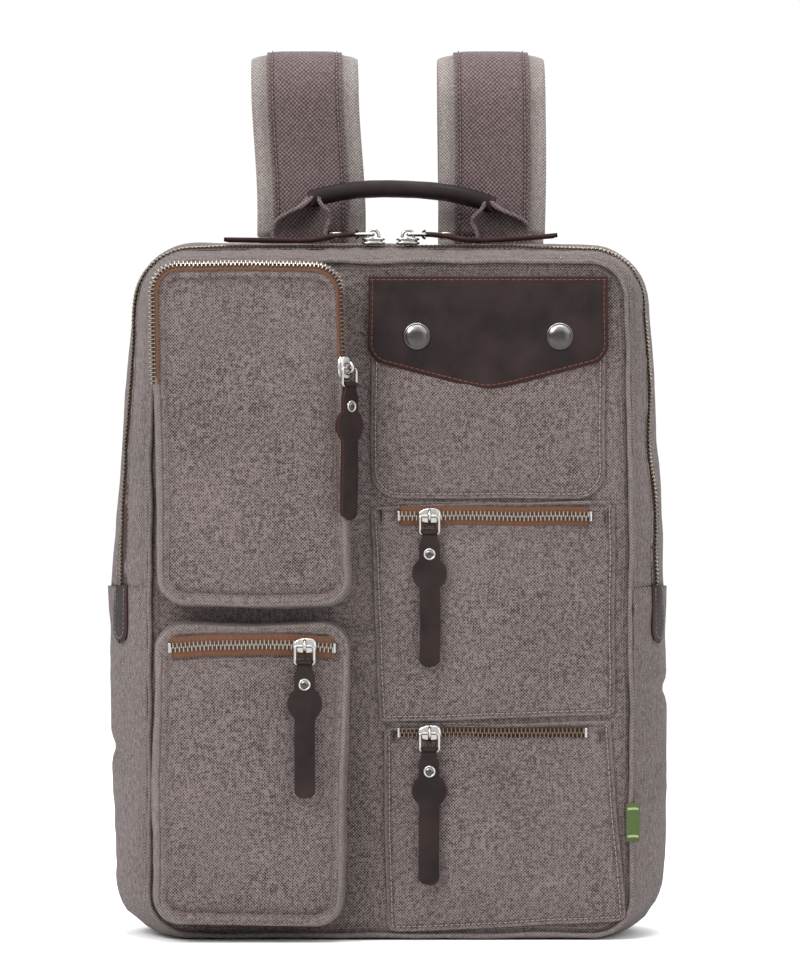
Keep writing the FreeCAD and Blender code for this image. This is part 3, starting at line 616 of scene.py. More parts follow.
# piped seam: a cord in folded canvas that wanders a little, with its line of stitches
piping = {"radius": 0.0015, "wander": 0.0012}


def seamPath(y, inset, seed, out=0.0):
    path = []
    for x, z, nx, nz in outlineAt(y, "all", 0.0, (70, 12, 110)):
        shift = piping["wander"] * wave(Vector((x, 0.2, z)), 0.03, seed)
        path.append(Vector((x - nx * (inset + shift), y + out, z - nz * (inset + shift))))
    return path


def pipedSeam(name, y, out, bodyName, node, seed):
    path = seamPath(y, piping["radius"], seed, out)
    radius = lambda t: piping["radius"] * (1 + 0.10 * wave(Vector((t * 9, 0, 0)), 0.05, seed))
    points, faces = tube(path, radius, 10, closed=True)
    marks = {"wear": [0.5 if i % 10 in (1, 2, 3) else 0.2 for i in range(len(points))]}
    return piece(name, points, faces, "welt", bodyName, [node], marks=marks)


pipedSeam("frontPiping", body["front"], -0.0006, "front_wall", "front_piping", 31.0)
pipedSeam("rearPiping", body["back"], 0.0010, "bag", "rear_piping", 33.0)
stitches("frontSeamStitches", [[p + Vector((0, -0.0012, 0))
                                for p in seamPath(body["front"], 0.0062, 31.0, 0.0)]],
         "paleThread", "front_wall", radius=0.25 * mm)
print("panels and piping ready")

# zips: cloth tape with a row of separate cast teeth along each edge
zipLook = {"pitch": 2.6 * mm, "toothWidth": 1.2 * mm, "toothReach": 2.9 * mm, "toothHeight": 1.5 * mm,
           "tapeWidth": 7.0 * mm, "tapeThick": 0.8 * mm}


# one tooth as a bar with a rounded head; across points away from the middle of the zip
def tooth(at, along, out, across):
    w, h = zipLook["toothWidth"] / 2, zipLook["toothHeight"]
    reach = zipLook["toothReach"]
    outline = [(-0.5 * mm, 0.8), (0.3 * mm, 1.1), (reach * 0.75, 0.86), (reach, 0.7)]
    points = []
    for d, k in outline:
        for sx, level in ((-1, 0.0), (-0.95, 0.7), (-0.5, 1.0), (0.5, 1.0), (0.95, 0.7), (1, 0.0)):
            points.append(at + across * d + along * (w * k * sx) + out * (h * level * (0.8 + 0.2 * k)))
    return points, ringFaces(len(outline), 6)


# path is a list of (place, outward); side is +1 or -1, offset shifts the teeth by half a pitch
def toothRow(path, side, offset, skip=None):
    parts = []
    places = [p for p, q in path]
    even = resample(places, zipLook["pitch"] / 4)
    lengths = [0.0]
    for a, b in zip(places, places[1:]):
        lengths.append(lengths[-1] + (b - a).length)
    k = 0
    for i, (at, along) in enumerate(even):
        if (i - offset) % 4:
            continue
        if skip and skip(at):
            continue
        want = lengths[-1] * i / max(1, len(even) - 1)
        while k < len(lengths) - 2 and lengths[k + 1] < want:
            k += 1
        out = path[k][1].normalized()
        across = along.cross(out).normalized() * side
        parts.append(tooth(at, along, (across.cross(along) * side).normalized(), across))
    return parts


def tapeStrip(path, side, start=0.4 * mm, width=None, sink=0.0):
    width = width or zipLook["tapeWidth"]
    rows = []
    for t in (0.0, 0.12, 0.5, 1.0):
        row = []
        for i, (at, out) in enumerate(path):
            before, after = path[max(i - 1, 0)][0], path[min(i + 1, len(path) - 1)][0]
            across = (after - before).normalized().cross(out).normalized() * side
            raised = 0.5 * mm if t == 0.12 else 0.0
            row.append(at + across * (start + (width - start) * t) + out * (raised - sink))
        rows.append(row[::-1] if side > 0 else row)
    points, faces, marks = thicken(rows, zipLook["tapeThick"])
    return points, faces


def mainZipPath(grow):
    path = []
    for x, z, nx, nz in outlineAt(body["zip"], "upper", grow, (60, 14, 90)):
        p = Vector((x, body["zip"], z))
        lift = 0.0009 * wave(Vector((x, 0.9, z)), 0.03, 43.0) * ease((abs(x) - 0.03) / 0.05)
        sway = zipSway(x, z)
        lean = 0.36 * abs(nx) + 0.16 * abs(nz)        # the gusset slopes towards the front here
        path.append((p + Vector((nx * (lift + 0.36 * sway), sway, nz * (lift + 0.2 * sway))),
                     Vector((nx, -lean, nz)).normalized()))
    return path


mainPath = mainZipPath(0.0002)
near = lambda p: p.z > 0.42 and abs(p.x) < 0.018
halves = []
for side, start in ((1, 0), (-1, 2)):
    halves.append((join(toothRow(mainPath, side, start, near)), tapeStrip(mainPath, side, sink=0.3 * mm)))
halves.sort(key=lambda half: sum(p.y for p in half[1][0]) / len(half[1][0]))
for (teeth, strip), half, bodyName in zip(halves, ("front", "rear"), ("front_wall", "bag")):
    piece(half + "ZipTeeth", teeth[0], teeth[1], "bronze", bodyName, [half + "_zip_teeth"],
          smooth=False)
    piece(half + "ZipTape", strip[0], strip[1], "darkTape", bodyName, [half + "_zip_tape"])
for edge, bodyName, step in ((rearEdge, "bag", 0.0035), (frontEdge, "front_wall", -0.0035)):
    seam = []
    for x, z, nx, nz in outlineAt(edge + step, "upper", 0.0003, (60, 12, 90)):
        seam.append(swayed(x, edge + step, z, nx, nz))
    stitches("zipSeam" + bodyName, [seam], "paleThread", bodyName, radius=0.3 * mm, lift=Vector((0, 0, 1)))
print("main zip ready")


# gusseted pockets: a crowned face, a rolled edge and sides that bulge and lean a little
def boxPocket(name, node, box, depth, r, seed, crown, sag, lean, zipSeam=None):
    x0, z0 = box[0][0], box[0][2]
    x1, z1 = box[1][0], box[1][2]
    inset = 0.0042
    faceY = body["front"] - depth
    rows, wear, paintedShade = [], [], []
    centreX, centreZ = (x0 + x1) / 2, (z0 + z1) / 2
    halfX, halfZ = (x1 - x0) / 2 - inset, (z1 - z0) / 2 - inset
    for line in roundedRows(x0 + inset, x1 - inset, z0 + inset, z1 - inset, r - inset, 34, 44, 8):
        row, wornRow, paintedShadeRow = [], [], []
        for x, z in line:
            d = edgeDistance(x, z, x0 + inset, x1 - inset, z0 + inset, z1 - inset, r - inset)
            p = Vector((x, 0.2, z))
            dome = crown * (1 - ((x - centreX) / halfX) ** 4)
            dome *= 1 - ((z - centreZ + sag * halfZ) / (halfZ * 1.35)) ** 2
            pucker = wave(Vector((x * 2, 0, z * 2)), 0.017, seed) * math.exp(-d / 0.009)
            push = max(dome, 0) + 0.0017 * crumple(p, seed) * ease(d / 0.012) + 0.0007 * pucker
            push -= 0.0011 * math.exp(-((d - 0.0045) / 0.0014) ** 2)      # the seam draws the cloth in
            if zipSeam is not None:
                push -= 0.0016 * math.exp(-((z - zipSeam) / 0.0085) ** 4)
            shiftX = 0.0020 * wave(Vector((x * 0.6, 0, z)), 0.07, seed + 31) + lean * (z - centreZ) / halfZ
            shiftZ = 0.0022 * wave(Vector((x, 0.5, z * 0.6)), 0.06, seed + 37)
            row.append(Vector((x + shiftX, faceY - push, z + shiftZ)))
            wornRow.append(0.75 * math.exp(-d / 0.0022) + 0.3 * max(0.0, pucker))
            # painted shade along the seam groove that draws the face in
            paintedShadeRow.append(0.85 * math.exp(-((d - 0.0045) / 0.001) ** 2))
        rows.append(row)
        wear.append(wornRow)
        paintedShade.append(paintedShadeRow)
    # the outline of the face, then rings that roll over the edge and run back to the wall
    m, n = len(rows), len(rows[0])
    ids = [(0, j) for j in range(n)] + [(i, n - 1) for i in range(1, m)]
    ids += [(m - 1, j) for j in range(n - 2, -1, -1)] + [(i, 0) for i in range(m - 2, 0, -1)]
    points = [p for row in rows for p in row]
    wearList = [v for row in wear for v in row]
    paintedShadeList = [v for row in paintedShade for v in row]
    faces = []
    for i in range(m - 1):
        for j in range(n - 1):
            a = i * n + j
            faces.append((a, a + 1, a + n + 1, a + n))
    outline = [rows[i][j] for i, j in ids]
    count = len(outline)
    outward = []
    for k in range(count):
        run = outline[(k + 1) % count] - outline[(k - 1) % count]
        outward.append(Vector((run.z, 0, -run.x)).normalized())
    wallBack = body["front"] - 0.0006
    rings = [(1.6, 0.06), (3.1, 0.6), (4.0, 1.7), (4.3, 3.2), (4.0, 4.6), (4.2, 6.5)]
    steps = [(o * mm, faceY + b * mm) for o, b in rings]
    for t in (0.15, 0.3, 0.45, 0.6, 0.75, 0.9, 1.0):
        y = faceY + 6.5 * mm + (wallBack - faceY - 6.5 * mm) * t
        steps.append(((4.2 + 1.6 * math.sin(math.pi * t) - 0.4 * t) * mm, y))
    last = [i * n + j for i, j in ids]
    for number, (out, y) in enumerate(steps):
        ring = []
        for k, (p, q) in enumerate(zip(outline, outward)):
            base = Vector((p.x, y, p.z))
            side = 0.0013 * crumple(base * 1.3, seed + 17) * ease((number - 4) / 3)
            side += 0.0005 * wave(base * 2, 0.016, seed + 5) * (1 if number > 4 else 0.3)
            place = base + q * (out + side)
            if number < 3:
                place.y = p.y + (y - faceY) * (0.9 if number else 0.5)
            ring.append(len(points))
            points.append(place)
            wearList.append(0.8 if number in (1, 2)
                            else (0.35 if number == 3 else 0.12 * (number == len(steps) - 1)))
            # painted shade in the fold of the pocket side and where it meets the wall
            paintedShadeList.append(0.9 if number == 4 else (0.7 if number == len(steps) - 1 else 0.0))
        for k in range(count):
            a, b = last[k], last[(k + 1) % count]
            faces.append((b, a, ring[k], ring[(k + 1) % count]))
        last = ring
    # inner skin: the same form drawn inwards, closed at the wall
    total = len(points)
    middle = Vector((centreX, body["front"], centreZ))
    thick = 0.0016
    shrinkX, shrinkZ = 1 - thick / (halfX + inset), 1 - thick / (halfZ + inset)
    inner = []
    for p in points:
        y = p.y + thick if p.y < wallBack - thick else p.y
        inner.append(Vector((middle.x + (p.x - middle.x) * shrinkX, min(y, wallBack),
                             middle.z + (p.z - middle.z) * shrinkZ)))
    points += inner
    faces += [tuple(i + total for i in reversed(f)) for f in faces]
    for k in range(count):
        a, b = last[k], last[(k + 1) % count]
        faces.append((b, a, a + total, b + total))
    marks = {"wear": wearList * 2, "paintedShade": paintedShadeList * 2}
    piece(name, points, faces, "canvas", "front_wall", [node], marks=marks)
    return outline, outward


upperBox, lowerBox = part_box("upper_pocket"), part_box("lower_pocket")
upperLook = {"depth": 0.0285, "radius": 0.017, "crown": 0.0032, "sag": 0.15, "lean": -0.0022,
             "leftDrop": 0.009}
lowerLook = {"depth": 0.0265, "radius": 0.017, "crown": 0.0036, "sag": 0.2, "lean": 0.0012}
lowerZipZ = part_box("lower_zip_slider")
lowerZipZ = (lowerZipZ[0][2] + lowerZipZ[1][2]) / 2
upperOutline, upperOut = boxPocket("upperPocket", "upper_pocket", upperBox, upperLook["depth"],
                                   upperLook["radius"],
                                   51.0, upperLook["crown"], upperLook["sag"], upperLook["lean"])
lowerOutline, lowerOut = boxPocket("lowerPocket", "lower_pocket", lowerBox, lowerLook["depth"],
                                   lowerLook["radius"],
                                   57.0, lowerLook["crown"], lowerLook["sag"], lowerLook["lean"], lowerZipZ)


# welt that edges the face of a gusseted pocket, where there is no zip
def pocketWelt(name, outline, outward, faceY, keep, seed):
    run, best = [], []
    count = len(outline)
    start = next(k for k in range(count) if not keep(outline[k]))
    for k in range(count + 1):
        p, q = outline[(start + k) % count], outward[(start + k) % count]
        if keep(p):
            shift = 0.0004 * wave(p * 2, 0.02, seed)
            run.append(Vector((p.x, 0, p.z)) + q * (0.0022 + shift) + Vector((0, faceY - 0.0002, 0)))
        else:
            best = run if len(run) > len(best) else best
            run = []
    points, faces = tube(best, 0.0016, 9, up=Vector((0, -1, 0)), flat=0.9)
    piece(name, points, faces, "welt", "front_wall", marks={"wear": [0.6] * len(points)})


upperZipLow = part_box("upper_zip_slider")[0][2] + 0.006
upperFaceY = body["front"] - upperLook["depth"]
lowerFaceY = body["front"] - lowerLook["depth"]
pocketWelt("upperWelt", upperOutline, upperOut, upperFaceY, lambda p: p.z < upperZipLow - 0.002, 61.0)
pocketWelt("lowerWelt", lowerOutline, lowerOut, lowerFaceY, lambda p: p.z < lowerZipZ - 0.004, 63.0)


def insetLoop(outline, outward, inset, lift, keep):
    loops, run = [], []
    for p, q in zip(outline, outward):
        if keep(p):
            run.append(p - q * inset + Vector((0, -lift, 0)))
        elif run:
            loops.append(run)
            run = []
    if run:
        loops.append(run)
    return loops


stitches("upperPocketStitches", insetLoop(upperOutline, upperOut, 0.0026, 0.0003,
                                          lambda p: p.z < upperZipLow),
         "paleThread", "front_wall", radius=0.3 * mm)
stitches("lowerPocketStitches", insetLoop(lowerOutline, lowerOut, 0.0026, 0.0003,
                                          lambda p: p.z < lowerZipZ - 0.01),
         "paleThread", "front_wall", radius=0.3 * mm)


# the upper pocket's zip runs round its top edge, tilted between face and side
def upperZipPath():
    run = []
    count = len(upperOutline)
    middleX = (upperBox[0][0] + upperBox[1][0]) / 2
    start = next(k for k in range(count) if upperOutline[k].z < upperZipLow and upperOutline[k].x > middleX)
    for k in range(count):
        p, q = upperOutline[(start + k) % count], upperOut[(start + k) % count]
        low = upperZipLow if p.x > middleX else upperZipLow - upperLook["leftDrop"]
        if p.z >= low:
            tilt = (q * 0.82 + Vector((0, -0.58, 0))).normalized()
            place = Vector((p.x, upperFaceY + 0.0018, p.z)) + q * 0.0036
            run.append((place + tilt * 0.0012, tilt))
    return run


upperPath = upperZipPath()
points, faces = join(toothRow(upperPath, 1, 0) + toothRow(upperPath, -1, 2))
piece("upperZipTeeth", points, faces, "teeth", "front_wall", ["pocket_zip_teeth"], smooth=False)
points, faces = join([tapeStrip(upperPath, side, 0.2 * mm, 4.9 * mm, 0.4 * mm) for side in (1, -1)])
piece("upperZipTape", points, faces, "tape", "front_wall", ["pocket_zip_tapes"])


# straight zips on a face that looks forward; arch lifts the middle a little
def straightZip(name, x0, x1, z, y, arch, tapeHalf, seed, look="teeth", band="tape"):
    path = []
    steps = 60
    for i in range(steps + 1):
        t = i / steps
        x = x0 + (x1 - x0) * t
        rise = arch * math.sin(math.pi * t) + 0.0006 * wave(Vector((x, 0, z)), 0.03, seed)
        level = y if not callable(y) else y(x, z + rise)
        path.append((Vector((x, level, z + rise)), Vector((0, -1, 0))))
    points, faces = join(toothRow(path, 1, 0) + toothRow(path, -1, 2))
    piece(name + "Teeth", points, faces, look, "front_wall", smooth=False)
    points, faces = join([tapeStrip(path, side, 0.2 * mm, tapeHalf, 0.3 * mm) for side in (1, -1)])
    piece(name + "Tape", points, faces, band, "front_wall")
    rims = []
    for sign in (1, -1):
        rims.append([p + Vector((0, -0.0002, sign * (tapeHalf + 0.0022))) for p, q in path])
    stitches(name + "Seam", rims, "paleThread", "front_wall", radius=0.3 * mm)
    # a metal stop at each end of the row
    stops = []
    for end, sign in ((path[0][0], -1), (path[-1][0], 1)):
        c = end + Vector((sign * 0.001, -0.0006, 0))
        stops.append(tube([c + Vector((0, 0, level)) for level in (-0.003, -0.0028, 0.0028, 0.003)], 0.0011,
                          8))
    points, faces = join(stops)
    piece(name + "Stops", points, faces, "nickel", "front_wall")


straightZip("lowerZip", lowerBox[0][0] + 0.010, lowerBox[1][0] - 0.008, lowerZipZ - 0.0012,
            lowerFaceY - 0.0026, 0.0022, 6.8 * mm, 71.0)
print("gusseted pockets ready")

# flat pockets sewn on the front wall: an outline with slanted edges and a belly of their own
patchLook = {"thick": 0.0021, "topRadius": 0.003, "flapPuff": 0.0024, "middlePuff": 0.0036, "lowPuff": 0.0062}


def patchPocket(name, node, corners, r, puff, seed):
    (xa, za), (xb, zb), (xc, zc), (xd, zd) = corners      # bottom left, bottom right, top right, top left
    columns, rowsCount, topR = 46, 42, patchLook["topRadius"]
    height = (zc + zd - za - zb) / 2
    width = (xb + xc - xa - xd) / 2
    rows, wear, paintedShade, seams = [], [], [], [[], [], [], []]
    vs = [i / 8 * 0.06 for i in range(8)] + [0.06 + 0.88 * i / rowsCount for i in range(rowsCount)]
    vs += [0.94 + 0.06 * i / 8 for i in range(9)]
    for v in vs:
        row, wornRow, paintedShadeRow = [], [], []
        low, high = v * height, (1 - v) * height
        cut = r - math.sqrt(max(0.0, r * r - max(0.0, r - low) ** 2)) if low < r else 0.0
        cutTop = topR - math.sqrt(max(0.0, topR * topR - max(0.0, topR - high) ** 2)) if high < topR else 0.0
        cut = max(cut, cutTop)
        for j in range(columns + 1):
            t = j / columns
            t = t - 0.08 * math.sin(2 * math.pi * t) / (2 * math.pi) * 2
            u = (cut + (width - 2 * cut) * t) / width
            x = (xa + (xb - xa) * u) * (1 - v) + (xd + (xc - xd) * u) * v
            z = (za + (zb - za) * u) * (1 - v) + (zd + (zc - zd) * u) * v
            d = min(u * width, (1 - u) * width, low, high)
            if low < r and (u * width < r or (1 - u) * width < r):
                d = max(0.0, r - math.hypot(r - min(u, 1 - u) * width, r - low))
            p = Vector((x, 0.35, z))
            swell = puff * math.sin(math.pi * min(1, max(0, u))) ** 0.6
            swell *= math.sin(math.pi * min(1, max(0, v * 0.9 + 0.05))) ** 0.7
            pucker = wave(Vector((x * 2, 0.3, z * 2)), 0.017, seed) * math.exp(-d / 0.008)
            push = patchLook["thick"] + 0.0003 + swell * ease(d / 0.02) + 0.0008 * crumple(p,
                                                                                           seed) * ease(d / 0.015)
            push += 0.0005 * pucker - 0.0005 * math.exp(-((d - 0.003) / 0.0011) ** 2)
            y = min(frontWallY(x, z) - push, body["front"] - 0.0002)
            wobble = 0.0007 * wave(Vector((x, 0.5, z)), 0.035, seed + 2) * (1 if d < 0.001 else 0.4)
            row.append(Vector((x + wobble, y, z + wobble)))
            wornRow.append(0.85 * math.exp(-d / 0.0016) + 0.3 * max(0.0, pucker))
            # painted shade along the stitch groove inside the edge
            paintedShadeRow.append(0.6 * math.exp(-((d - 0.003) / 0.0008) ** 2))
        rows.append(row)
        wear.append(wornRow)
        paintedShade.append(paintedShadeRow)
    points, faces, marks = thicken(rows, patchLook["thick"], wear=wear, paintedShade=paintedShade)
    piece(name, points, faces, "canvas", "front_wall", [node], marks=marks)
    return rows


# stitch path a fixed distance inside the edges of a patch, read from its own rows
def insideEdges(rows, inset, lift=0.00035):
    m, n = len(rows), len(rows[0])
    outline = [rows[i][0] for i in range(m - 1, 0, -1)] + rows[0] + [rows[i][n - 1] for i in range(1, m)]
    centre = sum((p for p in outline), Vector()) / len(outline)
    path = []
    for k in range(1, len(outline) - 1):
        run = outline[k + 1] - outline[k - 1]
        side = Vector((-run.z, 0, run.x)).normalized()
        if side.dot(centre - outline[k]) < 0:
            side = -side
        path.append(outline[k] + side * inset)
    snapped = []
    for p in path:
        near = min((q for row in rows[::2] for q in row[::2]),
                   key=lambda q: (q.x - p.x) ** 2 + (q.z - p.z) ** 2)
        snapped.append(Vector((p.x, near.y - lift, p.z)))
    return snapped


flapPatchBox, middleBox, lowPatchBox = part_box("flap_pocket_patch"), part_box("middle_pocket_patch"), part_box("low_pocket_patch")


def cornersOf(box, dBottomLeft=(0, 0), dBottomRight=(0, 0), dTopRight=(0, 0), dTopLeft=(0, 0)):
    base = [(box[0][0], box[0][2]), (box[1][0], box[0][2]), (box[1][0], box[1][2]), (box[0][0], box[1][2])]
    shifts = (dBottomLeft, dBottomRight, dTopRight, dTopLeft)
    return [(x + dx * mm, z + dz * mm) for (x, z), (dx, dz) in zip(base, shifts)]


flapRows = patchPocket("flapPocket", "flap_pocket_patch", cornersOf(flapPatchBox), 0.018,
                       patchLook["flapPuff"], 81.0)
middleRows = patchPocket("middlePocket", "middle_pocket_patch",
                         cornersOf(middleBox, (5, -3), (0, 2), (0, 2), (0, -2)), 0.004,
                         patchLook["middlePuff"], 83.0)
lowRows = patchPocket("lowPocket", "low_pocket_patch",
                      cornersOf(lowPatchBox, (10, -1), (4, 6), (-6, 1), (8, -4)), 0.005,
                      patchLook["lowPuff"], 87.0)
for name, rows in (("flapPocket", flapRows), ("middlePocket", middleRows), ("lowPocket", lowRows)):
    stitches(name + "Stitches", [insideEdges(rows, 0.0030)], "stitchThread", "front_wall", radius=0.36 * mm)


# bar tacks where a pocket's mouth takes the strain
def barTack(name, places, bodyName):
    parts = []
    for x, y, z in places:
        zig = [Vector((x + (i / 16 - 0.5) * 0.002, y, z + (0.004 if i % 2 else -0.004))) for i in range(17)]
        parts.append(tube(zig, 0.00028, 5))
    points, faces = join(parts)
    piece(name, points, faces, "paleThread", bodyName)


middleZipBox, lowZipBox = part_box("middle_zip_slider"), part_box("low_zip_slider")
middleZipZ, lowZipZ = (middleZipBox[0][2] + middleZipBox[1][2]) / 2, (lowZipBox[0][2] + lowZipBox[1][2]) / 2


def patchFace(rows, lift):
    flat = [q for row in rows for q in row]
    level = lambda x, z: min(flat, key=lambda q: (q.x - x) ** 2 + (q.z - z) ** 2).y - lift
    return level


straightZip("middleZip", middleBox[0][0] + 0.018, middleBox[1][0] - 0.016, middleZipZ,
            patchFace(middleRows, 0.0016),
            0.0, 6.0 * mm, 91.0)
straightZip("lowZip", lowPatchBox[0][0] + 0.018, lowPatchBox[1][0] - 0.022, lowZipZ,
            patchFace(lowRows, 0.0008),
            0.0, 3.4 * mm, 93.0, "bronze", "darkTape")
topY = middleRows[-2][2].y - 0.0004
barTack("mouthTacks", [(middleBox[0][0] + 0.006, topY, middleZipZ),
                       (middleBox[1][0] - 0.006, topY, middleZipZ),
                       (lowPatchBox[0][0] + 0.014, topY, lowZipZ - 0.002),
                       (lowPatchBox[1][0] - 0.012, topY, lowZipZ - 0.002)], "front_wall")
print("flat pockets ready")

# leather flap with a blunt point, a raised rim line of red stitches and two snaps
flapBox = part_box("flap")
flapLook = {"shoulder": 0.050, "corner": 0.010, "thick": 0.0020, "bow": 0.0006}
flapMidX = (flapBox[0][0] + flapBox[1][0]) / 2
flapHalf = (flapBox[1][0] - flapBox[0][0]) / 2
flapTop, flapTip = flapBox[1][2], flapBox[0][2]


# lower edge of the flap at a distance from its middle, as a share of half its width
def flapEdge(u):
    side = abs(u)
    shoulder = flapTop - flapLook["shoulder"]
    z = flapTip + (shoulder - flapTip) * (math.sqrt(side * side + 0.012) - 0.11) * 0.96
    rest = (1 - side) * flapHalf
    if rest < flapLook["corner"]:
        k = flapLook["corner"]
        z += k - math.sqrt(max(0.0, k * k - (k - rest) ** 2))
    return z


rows, wear = [], []
columns, rowsCount = 72, 30
for i in range(rowsCount + 1):
    v = i / rowsCount
    v = 1 - (1 - v) ** 1.25 if v < 1 else 1.0
    row, wornRow = [], []
    for j in range(columns + 1):
        u = -math.cos(math.pi * j / columns)
        low = flapEdge(u)
        z = low + (flapTop - low) * v
        x = flapMidX + u * flapHalf + 0.0005 * wave(Vector((0, 0.1, z)), 0.03, 95.0) * u
        d = min((1 - abs(u)) * flapHalf, z - low, flapTop - z)
        bow = flapLook["bow"] * wave(Vector((x, 0.8, z)), 0.06,
                                     96.0) + 0.0010 * math.sin(math.pi * v) * (1 - u * u)
        groovePush = 0.0004 * math.exp(-((d - 0.0025) / 0.0007) ** 2)
        row.append(Vector((x, flapBox[0][1] - 0.0002 - max(bow, -0.0006) + groovePush + 0.0004
                           * math.exp(-d / 0.0008), z)))
        wornRow.append(0.9 * math.exp(-d / 0.0007))
    rows.append(row)
    wear.append(wornRow)
points, faces, marks = thicken(rows, flapLook["thick"], wear=wear)
piece("flapLeather", points, faces, "leather", "flap", ["flap"], marks)
flapSeam = [p for p in insideEdges(rows, 0.0025, lift=0.0001) if p.z < flapTop - 0.003]
stitches("flapStitches", [flapSeam], "redThread", "flap", 3.6 * mm, 2.5 * mm, 0.34 * mm)
topSeam = [Vector((flapMidX + flapHalf * (0.965 - 1.93 * i / 60), rows[-1][36].y - 0.0003,
                   flapTop - 0.0024)) for i in range(61)]
stitches("flapTopStitches", [topSeam], "redThread", "flap", 3.6 * mm, 2.5 * mm, 0.34 * mm)


# turned part about a line that looks forward: (radius, reach) pairs from the rim to the centre
def turned(at, profile, sides=40, out=Vector((0, -1, 0))):
    out = out.normalized()
    side = out.cross(Vector((0, 0, 1)))
    side = side.normalized() if side.length > 1e-6 else Vector((1, 0, 0))
    over = side.cross(out)
    points = []
    for r, reach in profile:
        for k in range(sides):
            a = 2 * math.pi * k / sides
            points.append(at + out * reach + (side * math.cos(a) + over * math.sin(a)) * r)
    return points, ringFaces(len(profile), sides)


def scaled(profile):
    return [(r * mm, h * mm) for r, h in profile]


capProfile = [(6.0, 0.0), (8.2, 0.0), (8.5, 0.35), (8.4, 0.8), (7.9, 1.05), (7.3, 0.95), (7.0, 1.1),
              (6.4, 1.65), (5.2, 2.15),
              (3.6, 2.5), (1.8, 2.68), (0.5, 2.72)]
studProfile = [(5.2, 0.0), (5.4, 0.3), (5.2, 0.7), (3.0, 0.8), (2.6, 1.3), (2.2, 1.6), (0.8, 1.65)]
capsBox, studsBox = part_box("snap_caps"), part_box("snap_studs")
capZ = (capsBox[0][2] + capsBox[1][2]) / 2
parts, studs = [], []
for x in (capsBox[0][0] + 0.0085, capsBox[1][0] - 0.0085):
    parts.append(turned(Vector((x, flapBox[0][1] - 0.0007, capZ)), scaled(capProfile)))
    studs.append(turned(Vector((x, studsBox[1][1] - 0.0004, capZ)), scaled(studProfile)))
points, faces = join(parts)
# snap caps in nickel with painted shade and a painted highlight on top
piece("snapCaps", points, faces, "paintedShadeNickel", "flap", ["snap_caps"])
points, faces = join(studs)
piece("snapStuds", points, faces, "nickel", "front_wall", ["snap_studs"])
print("flap ready")

# side tag: a folded green ribbon with two pale bars
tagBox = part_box("side_tag")
tagX, tagY = tagBox[0][0] - 0.0025, tagBox[0][1] + 0.0006


def ribbon(x0, x1, z0, z1, y, bow):
    rows = []
    for i in range(9):
        z = z0 + (z1 - z0) * i / 8
        row = []
        for j in range(13):
            t = j / 12
            row.append(Vector((x0 + (x1 - x0) * t, y - bow * math.sin(math.pi * t),
                               z + 0.0004 * math.sin(3 * t))))
        rows.append(row)
    return rows


points, faces, marks = thicken(ribbon(tagX, tagBox[1][0] - 0.001, tagBox[0][2], tagBox[1][2], tagY, 0.0012),
                               0.0009)
piece("sideTag", points, faces, "green", "front_wall", ["side_tag"])
parts = []
for level in (0.14, 0.86):
    z = tagBox[0][2] + (tagBox[1][2] - tagBox[0][2]) * level
    points, faces, marks = thicken(ribbon(tagX + 0.0005, tagBox[1][0] - 0.0015, z - 0.0007, z + 0.0007,
                                          tagY - 0.0002, 0.0012), 0.0003)
    parts.append((points, faces))
points, faces = join(parts)
piece("sideTagBars", points, faces, "palePrint", "front_wall")


# a zip slider lying in its own frame: x along the zip, y out of the cloth, z across it
sliderLook = {"length": 7.5, "width": 5.0, "bailReach": 3.6, "bailFoot": 3.8, "bailRise": 5.4,
              "plates": ((0.0, 0.86), (0.35, 1.0), (1.3, 1.0), (1.7, 0.9),
                         (2.5, 0.88), (2.9, 1.0), (3.8, 0.97), (4.2, 0.8))}

def sliderParts(frameOf, turnBail):
    length, width, sides = sliderLook["length"], sliderLook["width"], 36
    points = []
    for level, swell in sliderLook["plates"]:
        for k in range(sides):
            a = 2 * math.pi * k / sides
            ca, sa = math.cos(a), math.sin(a)
            x = length * swell * math.copysign(abs(ca) ** 0.62, ca)
            spread = 1.0 if ca > 0 else 0.78 + 0.22 * (1 + ca)
            if 1.7 <= level <= 2.5:
                x *= 0.9
            z = width * swell * spread * math.copysign(abs(sa) ** 0.62, sa)
            points.append(frameOf(x, level, z))
    shell = points, ringFaces(len(sliderLook["plates"]), sides)
    arch = []
    for i in range(15):
        a = math.pi * i / 14
        reach = sliderLook["bailReach"] * math.cos(a)
        rise = sliderLook["bailFoot"] + sliderLook["bailRise"] * math.sin(a) ** 0.7
        arch.append(frameOf(reach, rise, 0) if turnBail else frameOf(0, rise, reach))
    flat = (0, 0, 1) if turnBail else (1, 0, 0)
    return join([shell, tube(arch, 1.05 * mm, 9, up=frameOf(*flat) - frameOf(0, 0, 0))])


# stirrup, rivet and leather of a pull, in the frame of its bar: x along the bar, y inwards, z up
pullLook = {"width": 13.0, "length": 95.0, "round": 11.0, "roundDrop": 36.0, "rivetDrop": 24.0, "thick": 2.7,
            "stirrupHalf": 6.0, "stirrupLength": 11.6}


def pullHalfWidth(d):
    half = pullLook["width"] / 2
    neck = 4.9 + (half - 4.9) * ease((d - 13.5) / 5)
    roundPart = pullLook["round"] ** 2 - (d - pullLook["roundDrop"]) ** 2
    wide = math.sqrt(roundPart) if roundPart > 0 else 0.0
    blend = max(neck, wide)
    left = pullLook["length"] - d
    if left < half:
        blend = min(blend, math.sqrt(max(0.0, half * half - (half - left) ** 2)) + 0.7)
    return blend


